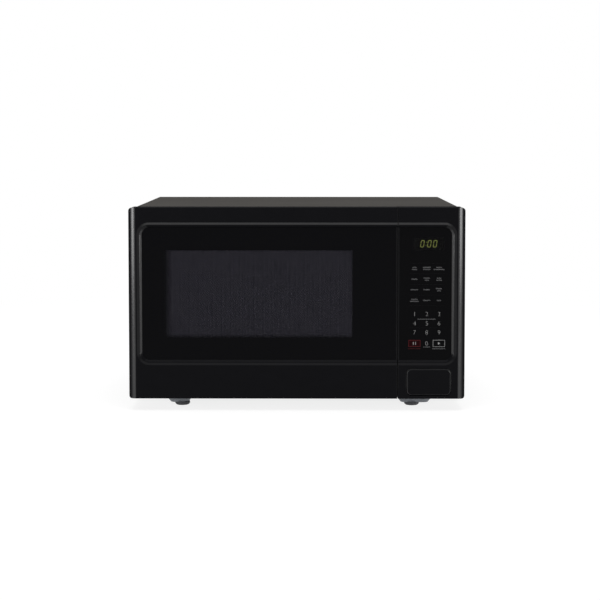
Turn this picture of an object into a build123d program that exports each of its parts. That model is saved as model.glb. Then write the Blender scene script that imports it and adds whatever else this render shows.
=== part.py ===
from build123d import *
import math
import os

os.makedirs("parts", exist_ok=True)

# All lengths are in millimetres. +X is to the right seen from the front, the front faces -Y and +Z is up.
# The origin is on the table under the middle of the oven.

# Overall size
width = 488.0
depth = 404.0
height = 295.0

# Front: door and control panel
front_thick = 34.0  # door, front to back
front_lift = 17.7  # lower edge of door and panel above the table
panel_width = 97.5
split_gap = 1.0  # between door and panel
plate_gap = 1.0  # between the closed door and the front plate
front_edge_radius = 11.0  # upright outer edges, seen from above
overshoot = 1.0  # cuts run this far past a face
corner_top = 6.5  # corners seen from the front
corner_bottom = 4.0
skin = 2.8  # wall of the door and panel mouldings
recess_side = 12.7
recess_top = 21.5
recess_bottom = 48.8
recess_radius = 18.0
lip_width = 4.3  # shallow outer slope of the recess
lip_drop = 1.2
slope_width = 3.0  # steep inner slope of the recess
slope_drop = 2.8
glass_thick = 3.0
glass_clear = 0.2
edge_rim = 1.5  # moulding left beside the glass at the split
ledge_thick = 2.5  # ledge that the glass is bonded to
ledge_width = 12.0

# Sheet metal and fits
sheet = 0.8
fit = 0.3  # between pieces that move past each other
running = 0.05  # radial clearance of pins and shafts
seat_clear = 0.1  # radial clearance of pieces pushed into holes

# Cover, base and rear
cover_inset = 1.0  # cover sides inside the front's outline
cover_drop = 2.0  # cover top below the front's top edge
cover_corner = 6.0
rear_flange = 14.0
base_lift = 21.0  # base plate's underside above the table
base_flange = 12.0
rear_bump = 4.0  # pressed spacers that keep the rear off a wall
bump_radius = 14.0
bump_side = 124.0  # spacer inside the oven's side
bump_drop = 50.0  # spacer below the cover's top
vent_length = 22.0
vent_width = 3.0
vent_pitch = 7.0

# Feet and the bosses that carry them
foot_side = 74.0  # foot centre inside the oven's side
foot_front = 52.0  # foot centre behind the front face
foot_rear = 48.0  # foot centre in front of the rear panel
foot_radius = 11.0
foot_height = 4.5
foot_stem = 3.5
foot_head = 5.0
foot_head_height = 2.0
boss_length = 52.0
boss_long = 66.0  # the bosses on the control side are drawn out to this length
boss_width = 42.0
boss_shift = 4.0  # middle of a boss outside its foot
boss_taper = 37.0

# Cavity
cavity_side = 25.0  # left side of the oven to the inside of the cavity
bay_width = 133.0  # right side of the oven to the inside of the cavity
cavity_rear = 19.2  # rear panel to the inside of the cavity
cavity_lift = 49.0  # cavity floor above the table
cavity_drop = 26.0  # cavity ceiling below the front's top edge
cavity_radius = 8.0
track_radius = 114.0  # round recess in the floor for the rollers
track_drop = 3.0
vent_hole = 1.6

# Turntable
tray_radius = 135.0
tray_thick = 4.5
tray_rim = 15.0
tray_foot = 118.0  # radius of the flat underside
roller_radius = 7.5
roller_width = 7.0
roller_pin = 2.0
ring_inner = 84.0
ring_outer = 92.0
ring_height = 7.0
ring_gap = 1.0  # ring to roller, along the pin
pin_cap = 3.5
pin_cap_thick = 1.5
roll_gap = 0.2  # roller to floor and roller to tray
coupler_hub = 13.0
coupler_reach = 24.0
coupler_arm = 9.0
coupler_height = 9.0
lug_inner = 17.0
lug_outer = 23.0
lug_height = 4.0
shaft_radius = 3.0
motor_radius = 25.0
motor_height = 16.0
motor_ear = 33.0  # turntable motor's screw holes from its axis
ear_radius = 6.0
ear_thick = 1.5

# Hinges
hinge_side = 8.0  # hinge line from the left side of the door
hinge_front = 13.0  # hinge line in front of the front plate
hinge_pin = 3.0
hinge_pin_length = 11.0
arm_width = 10.0
arm_thick = 2.0
arm_low = 22.6  # underside of the lower arm above the table
arm_high = 5.0  # top of the upper arm below the top edge of the front
leg_height = 24.0
bush_wall = 2.0
bush_boss = 6.0  # half width of the block that holds a bush
swing_clear = 0.5  # inner cover to front plate as the door swings

# Door inside
cover_thick = 3.0
cover_edge = 1.0  # inner cover inside the door frame's outline
choke_lap = 10.0  # choke pan past the cavity mouth
choke_depth = 11.0
choke_channel = 22.0
choke_step = 1.5  # raised middle below the pan's rim
choke_slot = 5.0
choke_pitch = 18.0
film_thick = 0.5
film_lap = 6.0  # inner window past the opening of the inner cover
pan_boss = 5.0

# Latch
hook_floor = 29.0  # underside of the lower hook's arm above the cavity floor
hook_ceiling = 31.0  # underside of the upper hook's arm below the cavity ceiling
hook_arm = 9.0
hook_barb = 5.0
hook_barb_length = 8.0
hook_reach = 27.0  # hook tip behind the front plate's front face
key_width = 15.0
key_thick = 5.0
key_side = 7.0  # latch key inside the door's right edge
key_margin = 14.0  # key past the hooks, up and down
hook_narrow = 8.0  # width of the upper hook
hook_clear = 3.0  # sideways room in the slots for the door's swing
board_thick = 3.0
board_depth = 46.0
catch_length = 13.0
catch_thick = 4.0
switch_thick = 10.2
switch_depth = 16.5
switch_height = 28.0
plunger_radius = 1.5
plunger_out = 1.2
plunger_in = 3.0
latch_coil = 1.9
latch_coil_length = 18.0

# Release button and lever
button_left = 12.7  # button to the left side of the panel
button_width = 64.0
button_height = 38.7
button_low = 4.8  # button above the panel's lower edge
button_radius = 7.0
button_clear = 0.6
button_set = 0.4  # button face behind the panel's face
button_depth = 13.0
button_travel = 5.0
button_ear = 4.0
button_wall = 2.5
stem_width = 6.0
nose_radius = 2.0
lever_drop = 18.0  # button contact below the lever's pivot
lever_reach = 17.0  # lifting end behind the lever's pivot
lever_rise = 11.7  # lifting face above the lever's pivot
lever_pin = 3.0
lever_hub = 6.0
lever_thick = 4.0
lever_front = 2.0  # pushed face of the lever in front of its pivot
coil_wire = 0.4
coil_turns = 6
button_coil = 5.0

# Control panel inside
membrane_thick = 0.8
membrane_edge = 4.0
display_width = 46.0
display_height = 20.0
display_drop = 52.5  # display centre below the panel's top edge
display_side = 53.0  # display centre inside the oven's right side
pcb_thick = 1.6
pcb_edge = 4.0
pcb_foot = 10.0  # board's lower edge above the recess's lower edge
pcb_post = 14.5
post_radius = 3.5
post_inset = 6.0

# Electrical bay
bay_gap = 2.0
guide_wide = 33.0  # waveguide, across the oven
guide_tall = 60.0
guide_long = 120.0
guide_rear = 60.0  # waveguide in front of the fan bulkhead
guide_drop = 31.0  # waveguide below the cavity ceiling
feed_long = 80.0
feed_tall = 36.0
mica_lap = 12.0
mica_thick = 0.6
aerial_radius = 8.0
aerial_end = 26.0  # aerial into the waveguide
aerial_back = 32.0  # aerial in front of the waveguide's rear end
anode_radius = 18.0
yoke_long = 80.0
yoke_tall = 76.0
yoke_wide = 50.0
yoke_plate = 1.5
fin_count = 9
fin_thick = 0.7
filter_wide = 30.0
filter_long = 56.0
filter_tall = 58.0
core_wide = 70.0
core_long = 100.0
core_tall = 80.0
core_limb = 30.0
core_window = 20.0
core_window_tall = 50.0
core_start = 60.0  # transformer behind the front plate
core_side = 18.0  # transformer to the cover's side
coil_bulge = 14.0
coil_tall = 22.0
coil_clear = 0.5
can_long = 54.0
can_wide = 34.0
can_tall = 88.0
can_start = 197.0  # capacitor behind the front plate
can_side = 34.0
can_terminal = 3.0
can_terminal_tall = 9.0
clamp_tall = 14.0
clamp_thick = 1.0
clamp_low = 30.0
clamp_foot = 16.0
fan_radius = 48.0
fan_tip = 5.0  # blade tip to shroud
fan_hub = 13.0
fan_depth = 18.0
fan_blades = 5
blade_thick = 1.6
blade_pitch = 32.0
fan_axle = 2.5
fan_high = 173.0  # fan axis above the table
fan_side = 60.0  # fan axis to the cover's side
wall_thick = 3.0  # fan bulkhead
wall_rear = 40.0  # fan bulkhead in front of the rear panel
wall_tall = 222.0
shroud_depth = 24.0
fan_core = 46.0
fan_core_thick = 20.0
fan_coil = 12.0
fan_motor_gap = 6.0
spider_arm = 7.0
duct_gap = 13.0  # air guide in front of the waveguide
duct_tall = 54.0
duct_wide = 26.0
duct_wall = 1.5
duct_start = 62.0  # air guide behind the front plate
duct_drop = 26.0  # air guide below the cavity ceiling
lamp_box = 32.0
lamp_tall = 40.0
lamp_wide = 26.0
lamp_rear = 11.0  # lamp housing in front of the fan bulkhead
lamp_drop = 12.0  # lamp housing below the cavity ceiling
lamp_radius = 9.0
lamp_long = 20.0
filter_board_long = 60.0
filter_board_wide = 84.0
filter_board_rear = 15.8  # filter board in front of the cavity's back
filter_post = 5.0
choke_ring = 11.0
choke_ring_tall = 9.0
cutout_radius = 8.0
cutout_tall = 7.0
gland_radius = 7.0
gland_flange = 10.5
gland_bore = 4.0
gland_side = 28.0
gland_high = 65.0

# Screws
screw_head = 4.0
screw_head_tall = 2.0
screw_shank = 1.6
screw_length = 8.0

# Planes and edges that follow from the sizes
x_left = -width / 2
x_right = width / 2
y_front = -depth / 2
y_rear = depth / 2 - rear_bump
y_back = y_front + front_thick
y_plate = y_back + plate_gap
y_bay = y_plate + sheet
y_floor = y_front + lip_drop + slope_drop
y_ledge = y_floor + glass_thick
y_hollow = y_ledge + ledge_thick
y_rim = y_back - cover_thick
x_panel = x_right - panel_width
x_door = x_panel - split_gap
cover_x = width / 2 - cover_inset
cover_top = height - cover_drop
bay_x = cover_x - sheet
bay_top = cover_top - sheet
base_top = base_lift + sheet
recess_x = (x_left + recess_side, x_right - recess_side)
recess_z = (front_lift + recess_bottom, height - recess_top)
recess_slope = lip_width + slope_width
pane_x = (recess_x[0] + recess_slope, recess_x[1] - recess_slope)
pane_z = (recess_z[0] + recess_slope, recess_z[1] - recess_slope)
pane_radius = recess_radius - recess_slope
cavity_x = (x_left + cavity_side, x_right - bay_width)
cavity_y = (y_bay, y_rear - cavity_rear)
cavity_z = (cavity_lift, height - cavity_drop)
cavity_width = cavity_x[1] - cavity_x[0]
cavity_depth = cavity_y[1] - cavity_y[0]
cavity_height = cavity_z[1] - cavity_z[0]
wall_x = cavity_x[1] + sheet
plate_x = (-bay_x, x_panel + skin + bay_gap)
hinge_x = x_left + hinge_side
hinge_y = y_plate - hinge_front
table_x = (cavity_x[0] + cavity_x[1]) / 2
table_y = (cavity_y[0] + cavity_y[1]) / 2
track_z = cavity_lift - track_drop
roller_z = track_z + roll_gap + roller_radius
tray_z = roller_z + roller_radius + roll_gap
roller_path = ring_outer + ring_gap + roller_width / 2
hook_low = cavity_lift + hook_floor
hook_high = cavity_z[1] - hook_ceiling
foot_x = x_right - foot_side
feet = [
    (-foot_x, y_front + foot_front),
    (foot_x, y_front + foot_front),
    (-foot_x, y_rear - foot_rear),
    (foot_x, y_rear - foot_rear),
]
boss_depth = base_lift - foot_height
bump_x = x_right - bump_side
bump_z = cover_top - bump_drop
cover_screw_spots = [
    (side * (cover_x - rear_flange / 2), z) for side in (-1, 1) for z in (bump_z / 3, bump_z)
] + [(side * bump_x, cover_top - rear_flange / 2) for side in (-1, 1)]


def facing(y):
    """Plane at depth y that looks out of the front, with X to the right and Z up."""
    return Plane.XZ.offset(-y)


def middle(span):
    """Middle of a (low, high) pair."""
    return (span[0] + span[1]) / 2


def length(span):
    """Length of a (low, high) pair."""
    return span[1] - span[0]


def grown(span, amount):
    """A (low, high) pair moved out by amount at both ends."""
    return (span[0] - amount, span[1] + amount)


def block(x, y, z, mode=Mode.ADD):
    """Box between (low, high) pairs in the open part."""
    with Locations((middle(x), middle(y), middle(z))):
        Box(length(x), length(y), length(z), mode=mode)


def rounded(x, z, radius):
    """Rounded rectangle between (low, high) pairs in the open sketch."""
    with Locations((middle(x), middle(z))):
        RectangleRounded(length(x), length(z), radius)


def post(centre, radius, y, mode=Mode.ADD):
    """Round post along Y between a (low, high) pair, centred on an (x, z) point."""
    with BuildSketch(facing(y[1])) as section:
        with Locations(centre):
            Circle(radius)
    extrude(section.sketch, amount=length(y), mode=mode)


def pin(centre, radius, x, mode=Mode.ADD):
    """Round pin along X between a (low, high) pair, centred on a (y, z) point."""
    with BuildSketch(Plane.YZ.offset(x[0])) as section:
        with Locations(centre):
            Circle(radius)
    extrude(section.sketch, amount=length(x), mode=mode)


def disc(centre, radius, z, mode=Mode.ADD):
    """Upright round disc between a (low, high) pair, centred on an (x, y) point."""
    with BuildSketch(Plane.XY.offset(z[0])) as section:
        with Locations(centre):
            Circle(radius)
    extrude(section.sketch, amount=length(z), mode=mode)


def front_outline(back):
    """Outer form of the whole front, down to depth back, with its rounded edges."""
    with BuildSketch(Plane.XY.offset(front_lift)) as plan:
        with Locations((0, (y_front + back) / 2)):
            Rectangle(width, back - y_front)
        fillet(plan.vertices().group_by(Axis.Y)[0], front_edge_radius)
    extrude(plan.sketch, amount=height - front_lift)
    with BuildSketch(facing(back)) as face:
        with Locations((0, (front_lift + height) / 2)):
            Rectangle(width, height - front_lift)
        fillet(face.vertices().group_by(Axis.Y)[-1], corner_top)
        fillet(face.vertices().group_by(Axis.Y)[0], corner_bottom)
    extrude(face.sketch, amount=back - y_front, mode=Mode.INTERSECT)


def cut_recess():
    """Cut the recess that the glass lies in: a shallow lip, a steep slope and the pocket for the pane."""
    x_run = (recess_x[0] + recess_radius, recess_x[1] - recess_radius)
    z_run = (recess_z[0] + recess_radius, recess_z[1] - recess_radius)
    with BuildLine(facing(y_front)) as edge:
        low = Line((x_run[0], recess_z[0]), (x_run[1], recess_z[0]))
        turn = JernArc(low @ 1, low % 1, recess_radius, 90)
        side = Line(turn @ 1, (recess_x[1], z_run[1]))
        turn = JernArc(side @ 1, side % 1, recess_radius, 90)
        top = Line(turn @ 1, (x_run[0], recess_z[1]))
        turn = JernArc(top @ 1, top % 1, recess_radius, 90)
        side = Line(turn @ 1, (recess_x[0], z_run[0]))
        JernArc(side @ 1, side % 1, recess_radius, 90)
    with BuildSketch(Plane.YZ.offset(x_run[0])) as section:
        with BuildLine():
            Polyline(
                (y_front - overshoot, recess_z[0]),
                (y_front, recess_z[0]),
                (y_front + lip_drop, recess_z[0] + lip_width),
                (y_floor, recess_z[0] + recess_slope),
                (y_front - overshoot, recess_z[0] + recess_slope),
                close=True,
            )
        make_face()
        lip_end = section.vertices().sort_by_distance((y_front + lip_drop, recess_z[0] + lip_width, 0))[0]
        fillet(lip_end, slope_drop)
    sweep(section.sketch, path=edge.wire(), mode=Mode.SUBTRACT)
    with BuildSketch(facing(y_ledge)) as pocket:
        rounded(pane_x, pane_z, pane_radius)
    extrude(pocket.sketch, amount=y_ledge - y_front + overshoot, mode=Mode.SUBTRACT)


def hollow_rails(x, z, back):
    """Hollow a moulding from behind: the whole back, then the rails round the recess up to the rounded edges."""
    block(x, (y_hollow, back), z, mode=Mode.SUBTRACT)
    rail_x = (max(x[0], x_left + front_edge_radius), min(x[1], x_right - front_edge_radius))
    with BuildSketch(facing(y_hollow)) as rails:
        with Locations((middle(rail_x), middle(z))):
            Rectangle(length(rail_x), length(z))
        with Locations((middle(recess_x), middle(recess_z))):
            RectangleRounded(length(recess_x), length(recess_z), recess_radius, mode=Mode.SUBTRACT)
    extrude(rails.sketch, amount=y_hollow - y_front - skin, mode=Mode.SUBTRACT)


def coil(foot, direction, radius, run):
    """Round-wire coil spring in the open part, run long from its foot with the wire's thickness."""
    pitch = (run - 2 * coil_wire) / coil_turns
    start = Vector(*foot) + Vector(*direction) * coil_wire
    with BuildLine() as path:
        Helix(pitch, run - 2 * coil_wire, radius, center=start, direction=direction)
    with BuildSketch(Plane(path.line @ 0, z_dir=path.line % 0)) as section:
        Circle(coil_wire)
    sweep(section.sketch, path=path.wire())
    return pitch - 2 * coil_wire


# Hinge arms and the blocks that take their pins, as (low, high) heights
arm_spans = [
    (arm_low, arm_low + arm_thick),
    (height - arm_high - arm_thick, height - arm_high),
]
bush_spans = [
    (arm_spans[0][1] + fit, arm_spans[0][1] + fit + hinge_pin_length),
    (arm_spans[1][0] - fit - hinge_pin_length, arm_spans[1][0] - fit),
]
arm_x = (hinge_x - arm_width / 2, hinge_x + arm_width / 2)

# Choke pan in the door
y_pan = y_rim - choke_depth
pan_x = grown(cavity_x, choke_lap)
pan_z = grown(cavity_z, choke_lap)
raised_x = grown(pan_x, -choke_channel)
raised_z = grown(pan_z, -choke_channel)
opening_x = grown(raised_x, -film_lap - sheet)
opening_z = grown(raised_z, -film_lap - sheet)
pan_spots = [
    (x, z)
    for x in (pan_x[0] + choke_channel / 2, pan_x[1] - choke_channel / 2)
    for z in (pane_z[0] + ledge_width / 2, pane_z[1] - ledge_width / 2)
]

# Latch key, its two hooks and what they meet behind the front plate
key_x = (x_door - key_side - key_width, x_door - key_side)
key_y = (y_rim - fit - key_thick, y_rim - fit)
key_z = (hook_low - key_margin, hook_high + hook_arm + key_margin)
hooks = [(hook_low, key_x), (hook_high, (key_x[1] - hook_narrow, key_x[1]))]
hook_tip = y_plate + hook_reach
key_lift = button_travel * lever_reach / lever_drop
board_x = (key_x[1] + hook_clear + bay_gap / 4, key_x[1] + hook_clear + bay_gap / 4 + board_thick)
pivot_y = y_bay + lever_hub + fit
pivot_z = hook_low - hook_barb - fit - lever_rise
lever_x = (key_x[0], board_x[0] - fit)
push_z = pivot_z - lever_drop
nose_y = pivot_y - lever_front - fit - nose_radius
switch_front = hook_tip + fit + plunger_out
near_x = (board_x[0] - switch_thick, board_x[0])
far_x = (near_x[0] - seat_clear - switch_thick, near_x[0] - seat_clear)
switches = [(hook_low, near_x), (hook_low, far_x), (hook_high, near_x)]

# Release button
button_x = (x_panel + button_left, x_panel + button_left + button_width)
button_z = (front_lift + button_low, front_lift + button_low + button_height)
button_face = y_front + button_set
button_back = button_face + button_depth
stem_x = (button_x[0] + button_wall, button_x[0] + button_wall + stem_width)
seat_y = button_back + button_travel + bay_gap
spring_x = middle(button_x)
spring_z = middle(button_z)

# Control board
y_pcb = y_hollow + pcb_post
pcb_x = (x_panel + skin + pcb_edge, x_right - skin - pcb_edge)
pcb_z = (recess_z[0] + pcb_foot, recess_z[1] - pcb_foot)
display_x = x_right - display_side
display_z = height - display_drop
display_span_x = (display_x - display_width / 2, display_x + display_width / 2)
display_span_z = (display_z - display_height / 2, display_z + display_height / 2)
post_spots = [(x, z) for x in grown(pcb_x, -post_inset) for z in grown(pcb_z, -post_inset)]

# Electrical bay
bulkhead_x = (wall_x + bay_gap, bay_x - bay_gap)
bulkhead_y = (y_rear - wall_rear, y_rear - wall_rear + wall_thick)
bulkhead_z = (base_top, base_top + wall_tall)
guide_x = (wall_x, wall_x + guide_wide)
guide_y = (bulkhead_y[0] - guide_rear - guide_long, bulkhead_y[0] - guide_rear)
guide_z = (cavity_z[1] - guide_drop - guide_tall, cavity_z[1] - guide_drop)
feed_y = (middle(guide_y) - feed_long / 2, middle(guide_y) + feed_long / 2)
feed_z = (middle(guide_z) - feed_tall / 2, middle(guide_z) + feed_tall / 2)
aerial = (guide_y[1] - aerial_back, middle(guide_z))
yoke_x = (guide_x[1], guide_x[1] + yoke_wide)
yoke_y = (aerial[0] - yoke_long / 2, aerial[0] + yoke_long / 2)
yoke_z = (aerial[1] - yoke_tall / 2, aerial[1] + yoke_tall / 2)
core_x = (bay_x - core_side - core_wide, bay_x - core_side)
core_y = (y_plate + core_start, y_plate + core_start + core_long)
core_z = (base_top, base_top + core_tall)
can_spot = (bay_x - can_side, y_plate + can_start)
fan_spot = (bay_x - fan_side, fan_high)
shroud_radius = fan_radius + fan_tip
blade_y = (bulkhead_y[1] + bay_gap, bulkhead_y[1] + bay_gap + fan_depth)
fan_core_y = (bulkhead_y[0] - fan_motor_gap - fan_core_thick, bulkhead_y[0] - fan_motor_gap)
duct_x = (wall_x, wall_x + duct_wide)
duct_y = (y_plate + duct_start, guide_y[0] - duct_gap)
duct_z = (cavity_z[1] - duct_drop - duct_tall, cavity_z[1] - duct_drop)
lamp_x = (wall_x, wall_x + lamp_wide)
lamp_y = (bulkhead_y[0] - lamp_rear - lamp_box, bulkhead_y[0] - lamp_rear)
lamp_z = (cavity_z[1] - lamp_drop - lamp_tall, cavity_z[1] - lamp_drop)
ceiling = cavity_z[1] + sheet
gland_spot = (bay_x - gland_side, gland_high)
motor_z = (track_z - sheet - motor_height, track_z - sheet)
ear_spots = [(table_x - motor_ear, table_y), (table_x + motor_ear, table_y)]

# Door
with BuildPart() as door_frame:
    front_outline(y_rim)
    cut_recess()
    split(bisect_by=Plane.YZ.offset(x_door), keep=Keep.BOTTOM)
    hollow_rails((x_left + skin, x_door - skin), (front_lift + skin, height - skin), y_rim)
    block((x_door - edge_rim, x_door), (y_floor, y_ledge), pane_z)
    window_x = (pane_x[0] + ledge_width, x_door - skin - ledge_width)
    block(window_x, (y_ledge, y_hollow), grown(pane_z, -ledge_width), mode=Mode.SUBTRACT)
    for bush_z in bush_spans:
        block((x_left + skin / 2, hinge_x + bush_boss), (hinge_y - bush_boss, hinge_y + bush_boss), bush_z)
        bush_hole = hinge_pin + running + bush_wall + seat_clear
        disc((hinge_x, hinge_y), bush_hole, bush_z, mode=Mode.SUBTRACT)
    for arm_z in arm_spans:
        slot_y = (hinge_y - arm_width, y_rim + overshoot)
        block((x_left - overshoot, x_left + skin), slot_y, grown(arm_z, fit), mode=Mode.SUBTRACT)
    for spot in pan_spots:
        post(spot, pan_boss, (y_hollow - ledge_thick / 2, y_pan))
        post(spot, screw_shank + seat_clear, (y_pan - screw_length, y_pan), mode=Mode.SUBTRACT)
    spring_stop = key_z[1] + latch_coil_length
    block((key_x[0], x_door - skin / 2), key_y, (spring_stop, spring_stop + skin))

with BuildPart() as door_glass:
    with BuildSketch(facing(y_ledge)):
        rounded(grown(pane_x, -glass_clear), grown(pane_z, -glass_clear), pane_radius - glass_clear)
    extrude(amount=glass_thick)
    split(bisect_by=Plane.YZ.offset(x_door - edge_rim - glass_clear), keep=Keep.BOTTOM)

with BuildPart() as choke_pan:
    block(pan_x, (y_pan, y_rim), pan_z)
    block(grown(pan_x, -sheet), (y_pan + sheet, y_rim), grown(pan_z, -sheet), mode=Mode.SUBTRACT)
    block(raised_x, (y_pan, y_rim - choke_step), raised_z)
    raised_gap = (y_pan, y_rim - choke_step - sheet)
    block(grown(raised_x, -sheet), raised_gap, grown(raised_z, -sheet), mode=Mode.SUBTRACT)
    with BuildSketch(facing(y_rim)):
        with Locations((middle(pan_x), middle(pan_z))):
            slots_across = int(length(pan_x) / choke_pitch) - 1
            with GridLocations(choke_pitch, length(pan_z) - sheet, slots_across, 2):
                Rectangle(choke_slot, 3 * sheet)
            slots_up = int(length(pan_z) / choke_pitch) - 1
            with GridLocations(length(pan_x) - sheet, choke_pitch, 2, slots_up):
                Rectangle(3 * sheet, choke_slot)
    extrude(amount=choke_depth - 2 * choke_step, mode=Mode.SUBTRACT)
    for spot in pan_spots:
        post(spot, screw_shank + seat_clear, (y_pan, y_pan + sheet), mode=Mode.SUBTRACT)

with BuildPart() as door_screws:
    for spot in pan_spots:
        post(spot, screw_head, (y_pan + sheet, y_pan + sheet + screw_head_tall))
        post(spot, screw_shank, (y_pan + sheet - screw_length, y_pan + sheet))

with BuildPart() as inner_window:
    with BuildSketch(facing(y_rim - choke_step + film_thick)):
        rounded(grown(opening_x, film_lap), grown(opening_z, film_lap), cavity_radius)
    extrude(amount=film_thick)

with BuildPart() as inner_cover:
    swing_reach = y_plate - swing_clear - hinge_y
    cover_left = hinge_x - math.sqrt(swing_reach**2 - (y_back - hinge_y) ** 2)
    block((cover_left, x_door - cover_edge), (y_rim, y_back), (front_lift + cover_edge, height - cover_edge))
    with BuildSketch(facing(y_back)):
        rounded(opening_x, opening_z, cavity_radius)
        for low, hook_x in hooks:
            slot_z = (low - hook_barb - fit, low + hook_arm + key_lift + fit)
            with Locations((middle(hook_x), middle(slot_z))):
                Rectangle(length(hook_x) + 2 * fit, length(slot_z))
    extrude(amount=cover_thick, mode=Mode.SUBTRACT)
    for arm_z in arm_spans:
        block((cover_left, arm_x[1] + overshoot), (y_rim, y_back), grown(arm_z, fit), mode=Mode.SUBTRACT)

with BuildPart() as hinge_bushes:
    for bush_z in bush_spans:
        disc((hinge_x, hinge_y), hinge_pin + running + bush_wall, bush_z)
        disc((hinge_x, hinge_y), hinge_pin + running, bush_z, mode=Mode.SUBTRACT)

with BuildPart() as latch_key:
    block(key_x, key_y, key_z)
    for low, hook_x in hooks:
        with BuildSketch(Plane.YZ.offset(hook_x[0])):
            with BuildLine():
                Polyline(
                    (key_y[0], low),
                    (hook_tip - hook_barb_length, low),
                    (hook_tip - hook_barb_length, low - hook_barb),
                    (hook_tip - hook_barb / 2, low - hook_barb),
                    (hook_tip, low - hook_barb / 2),
                    (hook_tip, low + hook_arm),
                    (key_y[0], low + hook_arm),
                    close=True,
                )
            make_face()
        extrude(amount=length(hook_x))

with BuildPart() as latch_spring:
    latch_foot = (middle(key_x), middle(key_y), key_z[1])
    latch_gap = coil(latch_foot, (0, 0, 1), latch_coil, latch_coil_length)

# Chassis
with BuildPart() as front_plate:
    with BuildSketch(facing(y_bay)) as plate_outline:
        with Locations((middle(plate_x), (front_lift + bay_top) / 2)):
            Rectangle(length(plate_x), bay_top - front_lift)
        plate_corner = plate_outline.vertices().sort_by_distance((plate_x[0], bay_top, 0))[0]
        fillet(plate_corner, cover_corner - sheet)
        with Locations((middle(cavity_x), middle(cavity_z))):
            Rectangle(cavity_width, cavity_height, mode=Mode.SUBTRACT)
        for mouth_x in cavity_x:
            mouth_corner = plate_outline.vertices().sort_by_distance((mouth_x, cavity_z[1], 0))[0]
            fillet(mouth_corner, cavity_radius)
        for low, hook_x in hooks:
            slot_z = (low - hook_barb - hook_clear, low + hook_arm + key_lift + hook_clear)
            with Locations((middle(hook_x), middle(slot_z))):
                Rectangle(length(hook_x) + 2 * hook_clear, length(slot_z), mode=Mode.SUBTRACT)
        for arm_z in arm_spans:
            with Locations((hinge_x, middle(arm_z))):
                Rectangle(arm_width + 2 * seat_clear, arm_thick + 2 * seat_clear, mode=Mode.SUBTRACT)
    extrude(amount=sheet)

with BuildPart() as lower_hinge:
    disc((hinge_x, hinge_y), arm_width / 2, arm_spans[0])
    block(arm_x, (hinge_y, y_bay + arm_thick), arm_spans[0])
    block(arm_x, (y_bay, y_bay + arm_thick), (arm_spans[0][0], arm_spans[0][0] + leg_height))
    disc((hinge_x, hinge_y), hinge_pin, (arm_spans[0][1], arm_spans[0][1] + hinge_pin_length))

with BuildPart() as upper_hinge:
    disc((hinge_x, hinge_y), arm_width / 2, arm_spans[1])
    block(arm_x, (hinge_y, y_bay + arm_thick), arm_spans[1])
    block(arm_x, (y_bay, y_bay + arm_thick), (arm_spans[1][1] - leg_height, arm_spans[1][1]))
    disc((hinge_x, hinge_y), hinge_pin, (arm_spans[1][0] - hinge_pin_length, arm_spans[1][0]))

with BuildPart() as cavity_wrap:
    with BuildSketch(facing(cavity_y[1])) as wrap_outline:
        with Locations((middle(cavity_x), (cavity_lift + ceiling) / 2)):
            Rectangle(cavity_width + 2 * sheet, ceiling - cavity_lift)
        fillet(wrap_outline.vertices().group_by(Axis.Y)[-1], cavity_radius + sheet)
    extrude(amount=cavity_depth)
    with BuildSketch(facing(cavity_y[1])) as wrap_inside:
        with Locations((middle(cavity_x), middle(cavity_z))):
            Rectangle(cavity_width, cavity_height)
        fillet(wrap_inside.vertices().group_by(Axis.Y)[-1], cavity_radius)
    extrude(amount=cavity_depth, mode=Mode.SUBTRACT)
    with BuildSketch(Plane.YZ.offset(cavity_x[1])):
        with Locations((middle(feed_y), middle(feed_z))):
            Rectangle(feed_long, feed_tall)
        hole_pitch = 4 * vent_hole
        for box_y, box_z in ((duct_y, duct_z), (lamp_y, lamp_z)):
            holes_along = int((length(box_y) - 2 * duct_wall) / hole_pitch)
            holes_up = int((length(box_z) - 2 * duct_wall) / hole_pitch)
            with Locations((middle(box_y), middle(box_z))):
                with GridLocations(hole_pitch, hole_pitch, holes_along, holes_up):
                    Circle(vent_hole)
    extrude(amount=sheet, mode=Mode.SUBTRACT)

with BuildPart() as cavity_floor:
    floor_y = (cavity_y[0], cavity_y[1] + sheet)
    block(grown(cavity_x, sheet), floor_y, (cavity_lift - sheet, cavity_lift))
    disc((table_x, table_y), track_radius + sheet, (track_z - sheet, cavity_lift))
    disc((table_x, table_y), track_radius, (track_z, cavity_lift), mode=Mode.SUBTRACT)
    disc((table_x, table_y), 2 * shaft_radius, (track_z - sheet, track_z), mode=Mode.SUBTRACT)
    for spot in ear_spots:
        disc(spot, screw_shank + seat_clear, (track_z - sheet, track_z), mode=Mode.SUBTRACT)

with BuildPart() as cavity_back:
    block(grown(cavity_x, sheet), (cavity_y[1], cavity_y[1] + sheet), (cavity_lift, ceiling))

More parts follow.
